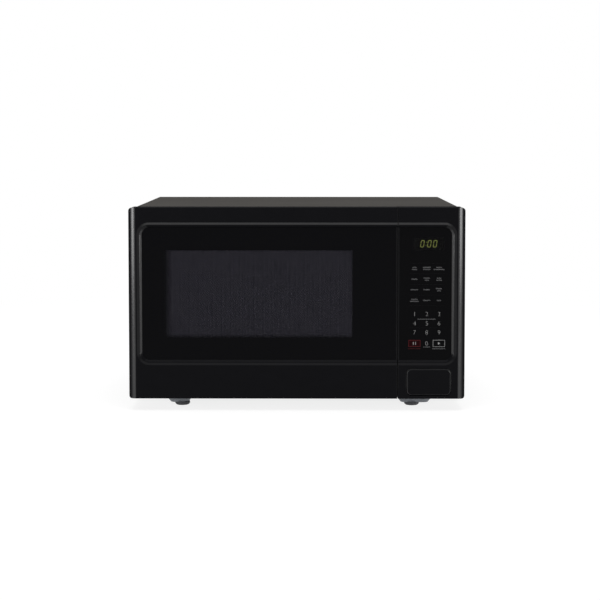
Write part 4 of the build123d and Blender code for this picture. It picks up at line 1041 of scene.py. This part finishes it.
@dataclass
class Door(Assembly):
    """Door with its glass, screen, inner cover and latch key."""

    pan: ScreenPan = field(default_factory=ScreenPan)
    finishes = {
        FASCIA: ["door_frame"],
        DOOR_GLASS: ["door_glass"],
        FILM: ["inner_window"],
        MATT_BLACK: ["inner_cover"],
        NATURAL: ["hinge_bushes", "latch_key"],
    }

    def build(self) -> None:
        """Make the screen and the screws that hold it."""
        self.pan.build()
        across, (_, back), up = spans_of("door_screws")
        seat = back - Screws.head_tall
        places = [(x, seat, z) for x in drawn_in(across, Screws.head) for z in drawn_in(up, Screws.head)]
        spots = [(place, (0.0, 1.0, 0.0)) for place in places]
        Screws("pan_screws", "door_screws", "door", spots).build()
        Spring("latch_key_spring", "latch_spring", ("latch_key", "door"), 2).build()


@dataclass
class Print:
    """Thin print on an upright face, drawn in millimetres from a point on the face."""

    origin: Point
    thick: float = 0.04
    type_size: float = 10.0
    type_thinned: float = -0.28
    stroke_step: float = 0.78
    stroke_line: float = 0.2
    stroke_reach: float = 0.72
    form: Facets = field(default_factory=Facets)

    def spot(self, x: float, z: float, near: bool) -> Point:
        """Point right of and above the origin, on the print's outer or inner side."""
        return self.origin[0] + x, self.origin[1] - self.thick * near, self.origin[2] + z

    def shape(self, outline: Sequence[Span]) -> None:
        """Filled shape from its X and Z corners, counter-clockwise seen from the front."""
        self.form.tube([[self.spot(x, z, near) for x, z in outline] for near in (False, True)])

    def rectangle(self, across: Span, up: Span) -> None:
        """Filled rectangle between low and high X and Z."""
        self.shape(corners_of(across, up))

    def bar(self, middle: Span, wide: float, tall: float) -> None:
        """Bar with round ends.

        Args:
            middle: X and Z of its middle.
            wide: Whole width.
            tall: Height.
        """
        radius = tall / 2.0
        reach = max(wide / 2.0 - radius, 0.0)
        outline = []
        for side, start in ((1, -90), (-1, 90)):
            for i in range(7):
                turn = math.radians(start + 30 * i)
                outline.append((
                    middle[0] + side * reach + radius * math.cos(turn),
                    middle[1] + radius * math.sin(turn),
                ))
        self.shape(outline)

    def outline(self, across: Span, up: Span, line: float) -> None:
        """Rectangle drawn as four mitred lines.

        Args:
            across: Low and high X.
            up: Low and high Z.
            line: Width of the line.
        """
        outer = corners_of(across, up)
        inner = corners_of(drawn_in(across, line), drawn_in(up, line))
        for corners in between(outer, inner):
            self.shape(corners)

    def figure(self, text: str, middle: Span, tall: float) -> None:
        """One printed figure.

        Args:
            text: The figure.
            middle: X and Z of its middle.
            tall: Height of the figure.
        """
        curve = bpy.data.curves.new("figure", "FONT")
        curve.body, curve.size, curve.extrude, curve.offset = text, self.type_size, 1.0, self.type_thinned
        solid = melted(linked("figure", curve))
        xs, ys, _ = zip(*(vertex.co for vertex in solid.vertices))
        scale = tall / (max(ys) - min(ys))
        left, low = (max(xs) + min(xs)) / 2.0, (max(ys) + min(ys)) / 2.0
        spots = [
            self.spot(middle[0] + scale * (x - left), middle[1] + scale * (y - low), z > 0.0)
            for x, y, z in (vertex.co for vertex in solid.vertices)
        ]
        for polygon in solid.polygons:
            self.form.face(spots[i] for i in polygon.vertices)
        bpy.data.meshes.remove(solid)

    def word(self, middle: Span, wide: float, tall: float) -> None:
        """Row of plain strokes in place of a word.

        Args:
            middle: X and Z of its middle.
            wide: Whole width.
            tall: Height of the strokes.
        """
        count = max(round(wide / (self.stroke_step * tall)), 2)
        step = wide / count
        for i in range(count):
            left = middle[0] - wide / 2.0 + i * step
            low, high = middle[1] - tall / 2.0, middle[1] + tall / 2.0
            line = self.stroke_line * tall
            self.rectangle((left, left + line), (low, high))
            rung = low + (tall - line) * ((3 * i + count) % 4) / 3.0
            self.rectangle((left + line, left + self.stroke_reach * step), (rung, rung + line))

    def piece(self, name: str, finish: Finish, slot: str) -> None:
        """Give the print its ink and settle it on the oven's body."""
        settle(self.form.piece(name, finish), "chassis")


@dataclass
class ControlPanel(Assembly):
    """Panel moulding, keypad print, display and release button.

    Sizes are in millimetres. The print is placed from the upper middle of the keypad film.
    """

    columns: Sequence[float] = (-15.5, 2.2, 19.9)
    label_rows: Sequence[float] = (-59.1, -74.7, -90.0, -105.5)
    figure_rows: Sequence[tuple[float, str]] = ((-125.4, "123"), (-138.9, "456"), (-152.1, "789"), (-168.1, " 0 "))
    figure_tall: float = 5.8
    label_tall: float = 1.7
    label_gap: float = 1.3
    labels: Sequence[Sequence[Sequence[float]]] = (
        ((5.8, 7.3), (11.4, 10.6), (8.2, 15.6)),
        ((8.7,), (9.2, 6.3), (6.3, 8.3)),
        ((11.2,), (9.2,), (9.2, 5.4)),
        ((9.7, 13.0), (11.2,), (6.1,)),
    )
    captions: Sequence[tuple[float, float, float]] = ((2.4, -132.8, 26.4), (2.4, -173.3, 10.2), (19.9, -175.8, 19.0))
    caption_tall: float = 1.3
    box_wide: float = 17.2
    box_tall: float = 9.9
    box_line: float = 0.65
    start_line: float = 0.4225
    stop_caption: float = 17.6
    pause_step: float = 1.65
    pause_half: Span = (0.36, 2.0)
    arrow: Span = (1.2, 1.8)
    row_line: Span = (52.0, 0.35)
    row_pitch: float = 15.4
    figure_line: float = -145.5
    segment_wide: float = 4.4
    segment_tall: float = 10.2
    segment_line: float = 0.85
    segment_gap: float = 0.18
    slant: float = 0.15
    digit_steps: Sequence[float] = (-9.4, 0.6, 8.9)
    colon_step: float = -3.9
    colon_half: float = 2.2
    finishes = {
        FASCIA: ["panel_housing"],
        BUTTON: ["release_button"],
        OVERLAY: ["keypad_overlay"],
        MEMBRANE: ["membrane_switch"],
        DISPLAY: ["display_module"],
        LAMINATE: ["control_board"],
        COMPONENT: ["board_components"],
    }

    def __post_init__(self) -> None:
        """Find the faces that carry the print."""
        (left, right), (near, _), (_, top) = spans_of("keypad_overlay")
        self.film = ((left + right) / 2.0, near, top)
        (left, right), (near, _), (low, high) = spans_of("display_module")
        self.lens = ((left + right) / 2.0, near, (low + high) / 2.0)

    def build(self) -> None:
        """Draw the keypad and the display."""
        self.print_figures()
        self.print_labels()
        self.print_start_and_stop()
        self.light_display()
        Spring("release_button_spring", "button_spring", ("release_button", "chassis"), 1).build()

    def print_figures(self) -> None:
        """Draw the number keys."""
        pale = Print(self.film)
        for height, row in self.figure_rows:
            for x, text in zip(self.columns, row):
                if text.strip():
                    pale.figure(text, (x, height), self.figure_tall)
        pale.piece("keypad_figures", PALE_INK, "overlay")

    def print_labels(self) -> None:
        """Draw rows of plain strokes in place of the keys' names, and the lines between the rows."""
        grey = Print(self.film)
        pitch = self.label_tall + self.label_gap
        for height, row in zip(self.label_rows, self.labels):
            for x, lines in zip(self.columns, row):
                for i, wide in enumerate(lines):
                    drop = (i - (len(lines) - 1) / 2.0) * pitch
                    grey.word((x, height - drop), wide, self.label_tall)
        for x, height, wide in self.captions:
            grey.word((x, height), wide, self.caption_tall)
        grey.piece("keypad_bars", GREY_INK, "overlay")
        faint = Print(self.film)
        middle, half = self.columns[1], self.row_pitch / 2.0
        heights = [self.label_rows[0] + half, *(row - half for row in self.label_rows), self.figure_line]
        for height in heights:
            faint.bar((middle, height), *self.row_line)
        faint.piece("keypad_row_lines", FAINT_INK, "overlay")

    def print_start_and_stop(self) -> None:
        """Draw the framed stop and start keys with their signs."""
        height, line = self.figure_rows[-1][0], self.box_line
        left, _, right = self.columns
        half = self.box_wide / 2.0
        up = (height - self.box_tall / 2.0, height + self.box_tall / 2.0)
        stop, start = ((middle - half, middle + half) for middle in (left, right))
        red = Print(self.film)
        red.outline(stop, up, line)
        red.word((left, self.captions[-1][1]), self.stop_caption, self.caption_tall)
        red.piece("stop_key_frame", RED_INK, "overlay")
        fill = Print(self.film)
        fill.rectangle(drawn_in(stop, line), drawn_in(up, line))
        fill.piece("stop_key_fill", DARK_RED_INK, "overlay")
        x, near, z = self.film
        pause = Print((x, near - fill.thick, z))
        wide, tall = self.pause_half
        for middle in (left - self.pause_step, left + self.pause_step):
            pause.rectangle((middle - wide, middle + wide), (height - tall, height + tall))
        pause.piece("stop_key_sign", PALE_INK, "overlay")
        run = Print(self.film)
        run.outline(start, up, self.start_line)
        back, reach = self.arrow
        run.shape([(right - back, height - reach), (right + reach, height), (right - back, height + reach)])
        run.piece("start_key_sign", PALE_INK, "overlay")

    def slanted(self, middle: float, outline: Sequence[Span]) -> list[Span]:
        """Outline about a figure's middle, leaning as the display's figures lean."""
        return [(middle + x + self.slant * z, z) for x, z in outline]

    def segment(self, start: Span, along: Span, length: float) -> list[Span]:
        """Bar with pointed ends.

        Args:
            start: X and Z of its first point.
            along: Its direction.
            length: Length from point to point.

        Returns:
            Its six corners.
        """
        (x, z), (dx, dz), half = start, along, self.segment_line / 2.0
        ends = [(0.0, 0.0), (half, -half), (length - half, -half), (length, 0.0), (length - half, half), (half, half)]
        return [(x + run * dx - side * dz, z + run * dz + side * dx) for run, side in ends]

    def light_display(self) -> None:
        """Draw 0:00 in slanting segments on the display's face."""
        lit = Print(self.lens)
        half_wide, half_tall = self.segment_wide / 2.0, self.segment_tall / 2.0
        line, gap = self.segment_line / 2.0, self.segment_gap
        reach = half_wide - gap
        bars = [self.segment((-reach, z), (1.0, 0.0), 2.0 * reach) for z in (-half_tall + line, half_tall - line)]
        tall = half_tall - line - 2.0 * gap
        for x in (-half_wide, half_wide):
            bars += [self.segment((x, low), (0.0, 1.0), tall) for low in (-half_tall + line + gap, gap)]
        for step in self.digit_steps:
            for bar in bars:
                lit.shape(self.slanted(step, bar))
        for z in (-self.colon_half, self.colon_half):
            lit.shape(self.slanted(self.colon_step, corners_of((-line, line), (z - line, z + line))))
        lit.piece("display_segments", LIT_SEGMENT, "display")


@dataclass
class Cabinet(Assembly):
    """Cover, rear, base and feet, sizes in millimetres."""

    screw_drop: float = 50.0
    top_across: float = 120.0
    ear: float = 6.0
    ear_thick: float = 1.5
    finishes = {
        COVER_PAINT: ["outer_cover"],
        BASE_COAT: ["base_plate"],
        ZINC: ["rear_panel"],
        FOOT: ["feet"],
        RUBBER: ["cord_gland"],
    }

    def build(self) -> None:
        """Make the screws of the cover and the turntable motor."""
        back, down = (0.0, 1.0, 0.0), (0.0, 0.0, -1.0)
        across, (_, rear), (_, top) = spans_of("chassis_screws")
        seat = rear - Screws.head_tall
        upper = spans_of("outer_cover")[2][1] - self.screw_drop
        spots = [((x, seat, z), back) for x in drawn_in(across, Screws.head) for z in (upper / 3.0, upper)]
        spots += [((x, seat, top - Screws.head), back) for x in (-self.top_across, self.top_across)]
        across, along, (_, top) = spans_of("turntable_motor")
        spots += [((x, sum(along) / 2.0, top - self.ear_thick), down) for x in drawn_in(across, self.ear)]
        Screws("case_screws", "chassis_screws", "chassis", spots).build()


@dataclass
class Cavity(Assembly):
    """Oven cavity, hinges, latch and feed."""

    finishes = {
        ENAMEL: ["front_plate", "cavity_wrap", "cavity_floor", "cavity_back"],
        ZINC: ["lower_hinge", "upper_hinge", "waveguide", "lamp_housing"],
        NATURAL: ["latch_board", "release_lever"],
        SWITCH: ["interlock_switches"],
        PLUNGER: ["switch_plungers"],
        MICA: ["waveguide_cover"],
        LAMP_GLASS: ["cavity_lamp"],
    }


@dataclass
class Turntable(Assembly):
    """Glass tray on its roller ring, sizes in millimetres."""

    foot: float = 118.0
    thick: float = 4.5
    lug_inner: float = 17.0
    lug_outer: float = 23.0
    lug_half: float = 4.5
    lug_tall: float = 4.0
    lug_bevel: float = 0.6
    centre: float = 0.05
    ridges: Sequence[Span] = ((48.0, 0.0), (50.0, 0.5), (56.0, 0.5), (58.0, 0.0))
    heel: Sequence[Span] = ((-4.0, 0.0), (0.0, 0.8))
    shoulder: Span = (0.6, 0.2)
    rim_soft: float = 1.5
    hollow: Sequence[Span] = ((1.5, 2.2), (-2.2, 0.4), (-6.0, 0.0))
    finishes = {
        NATURAL: [
            "turntable_coupler", "turntable_shaft", "roller_ring", "roller_right", "roller_rear", "roller_front",
        ],
        ZINC: ["turntable_motor"],
    }

    def __post_init__(self) -> None:
        """Take the tray's place and size from the node that it stands for."""
        across, along, up = spans_of("glass_tray")
        self.axis = (sum(across) / 2.0, sum(along) / 2.0)
        self.reach = (across[1] - across[0]) / 2.0
        self.under, self.rim = up[0] + self.lug_tall, up[1]
        self.dish = self.under + self.thick

    def tray_profile(self) -> list[Span]:
        """Section of the tray.

        Returns:
            Radius and height of its rings, from below the middle to above it.
        """
        lip = self.thick / 2.0
        wall = self.rim - lip
        profile = [(self.centre, self.under)] + [(radius, self.under + rise) for radius, rise in self.ridges]
        profile += [(self.foot + out, self.under + rise) for out, rise in self.heel]
        profile.append((self.reach - self.shoulder[0], self.rim - self.thick - self.shoulder[1]))
        turns = [math.radians(20.0 * i) for i in range(10)]
        profile += [(self.reach - lip + lip * math.cos(t), wall + lip * math.sin(t)) for t in turns]
        profile.append((self.reach - self.thick - self.rim_soft, wall - self.rim_soft))
        profile += [(self.foot + out, self.dish + rise) for out, rise in self.hollow]
        return profile + [(self.centre, self.dish)]

    def build(self) -> None:
        """Turn the tray and set its lugs."""
        form = turned(self.tray_profile(), 128)
        middle = ((self.lug_inner + self.lug_outer) / 2.0, 0.0, self.under - self.lug_tall / 2.0)
        size = (self.lug_outer - self.lug_inner, 2.0 * self.lug_half, self.lug_tall)
        lug = block(size, middle, bevel=self.lug_bevel)
        for start in (60, 180, 300):
            form.add_mesh(lug, turn_z(start))
        tray = form.piece("turned_glass_tray", TRAY_GLASS, smooth=40.0)
        tray.data.transform(Matrix.Translation((self.axis[0] * MM, self.axis[1] * MM, 0.0)))
        settle(tray, "turntable", ["glass_tray"])


@dataclass
class Electrics(Assembly):
    """Magnetron, high voltage, cooling and small electrics behind the control panel."""

    finishes = {
        ZINC: ["magnetron_yoke", "filter_box", "capacitor_clamp"],
        COPPER: ["magnetron_anode", "transformer_coils"],
        ALUMINIUM: ["magnetron_fins", "high_voltage_capacitor", "thermal_cutouts"],
        LAMINATIONS: ["transformer_core", "fan_motor"],
        BAY_PLASTIC: ["fan_bulkhead", "air_guide"],
        SPRING: ["fan_shaft"],
        NATURAL: ["fan_impeller"],
        LAMINATE: ["filter_board"],
    }


@dataclass
class Studio(Assembly):
    """Pale floor, white surround, soft lamps and the camera, in metres, watts and degrees."""

    eye: Point = (0.01736, -2.26212, 0.40047)
    pitch: float = 3.266
    turn: float = 0.350
    lens: float = 86.034
    sensor: float = 36.0
    shift: float = -0.14
    clip: Span = (0.05, 50.0)
    floor_half: float = 5.0
    floor_tone: float = 0.24
    floor_white: float = 0.82
    floor_fade: Span = (0.45, 1.3)
    painted_shadow_across: tuple[Span, Span] = ((-0.20, 0.20), (0.03, 0.03))
    painted_shadow_along: tuple[Span, Span] = ((-0.075, 0.165), (0.02, 0.03))
    floor_bounce: float = 0.6
    ambient: float = 0.38
    aim: Point = (0.0, -0.1, 0.15)
    lamps: Sequence[tuple[str, Point, Span, float]] = (
        ("top_softbox", (0.0, -0.5, 2.3), (1.8, 1.5), 30.0),
        ("left_softbox", (-1.55, -1.3, 0.34), (1.3, 0.6), 16.0),
        ("right_softbox", (1.55, -1.3, 0.34), (1.3, 0.6), 16.0),
        ("rear_softbox", (0.0, 2.2, 1.3), (1.6, 0.9), 16.0),
    )

    def seen_directly(self, shader: Shader) -> Value:
        """1 for rays from the camera, mirrors and clear glass.

        Args:
            shader: Tree that takes the nodes.

        Returns:
            The mask.
        """
        path = shader.node("ShaderNodeLightPath", {}, {})
        names = ("Is Camera Ray", "Is Glossy Ray", "Is Transmission Ray")
        camera, glossy, through = (Value(shader, path.outputs[name]) for name in names)
        return (camera + glossy + through).rise(0.0, 0.5)

    def light_world(self) -> None:
        """White surround for the eye, soft even light for the surfaces."""
        world = bpy.data.worlds.new("studio")
        bpy.context.scene.world = world
        shader = Shader(world)
        direct = self.seen_directly(shader)
        strength = self.ambient + (1.0 - self.ambient) * direct
        sky = shader.value("ShaderNodeBackground", {}, {"Color": (1.0, 1.0, 1.0), "Strength": strength})
        shader.node("ShaderNodeOutputWorld", {}, {"Surface": sky})

    def lay_floor(self) -> None:
        """Pale floor that keeps the oven's shadow, with a painted shadow under the oven where its white glow is left
        out, and is clear from below.
        """
        half = self.floor_half / MM
        sheet = Facets()
        sheet.face((x, y, 0.0) for x, y in corners_of((-half, half), (-half, half)))
        floor = sheet.piece("pale_floor", ENAMEL)
        paint = bpy.data.materials.new("pale_floor")
        shader = Shader(paint)
        matt, bounce = (
            shader.value("ShaderNodeBsdfDiffuse", {}, {"Color": (tone,) * 3})
            for tone in (self.floor_tone, self.floor_bounce)
        )
        white, plain = (
            shader.value("ShaderNodeEmission", {}, {"Strength": strength}) for strength in (self.floor_white, 1.0)
        )
        bright = shader.value("ShaderNodeAddShader", {}, {0: matt, 1: white})
        x, y, _ = shader.axes(shader.place())
        # Painted shadow: the floor's white glow is left out in a patch under the oven, so the floor is dark there.
        painted_shadow_under_oven = x.within(*self.painted_shadow_across) * y.within(*self.painted_shadow_along)
        far = (x * x + y * y).rise(self.floor_fade[0] ** 2, self.floor_fade[1] ** 2)
        seen = shader.layer(far, shader.layer(painted_shadow_under_oven, bright, matt), plain)
        above = shader.layer(self.seen_directly(shader), bounce, seen)
        below = shader.value("ShaderNodeBsdfTransparent", {}, {})
        under = shader.value("ShaderNodeNewGeometry", {}, {}, "Backfacing")
        shader.node("ShaderNodeOutputMaterial", {}, {"Surface": shader.layer(under, above, below)})
        floor.data.materials[0] = paint

    def build(self) -> None:
        """Set up the surround, the floor and the lamps."""
        self.light_world()
        self.lay_floor()
        for name, spot, size, power in self.lamps:
            light = bpy.data.lights.new(name, "AREA")
            light.shape, light.size, light.size_y, light.energy = "RECTANGLE", *size, power
            lamp = linked(name, light)
            lamp.location = spot
            lamp.rotation_euler = (Vector(self.aim) - Vector(spot)).to_track_quat("-Z", "Y").to_euler()
            lamp.visible_camera = False

    def dress(self) -> None:
        """Set the camera and the plain view transform."""
        data = bpy.data.cameras.new("camera")
        data.lens, data.sensor_width, data.shift_y = self.lens, self.sensor, self.shift
        data.clip_start, data.clip_end = self.clip
        camera = linked("camera", data)
        camera.location = self.eye
        camera.rotation_euler = Euler((math.radians(90.0 - self.pitch), 0.0, math.radians(self.turn)))
        bpy.context.scene.camera = camera
        bpy.context.scene.view_settings.view_transform = "Standard"


def main() -> None:
    """Build and dress the oven and its studio in order."""
    logging.basicConfig(level=logging.INFO, format="%(message)s")
    for part in (Cabinet(), Cavity(), Door(), ControlPanel(), Turntable(), Electrics(), Studio()):
        part.build()
        part.dress()


if __name__ == "__main__":
    main()
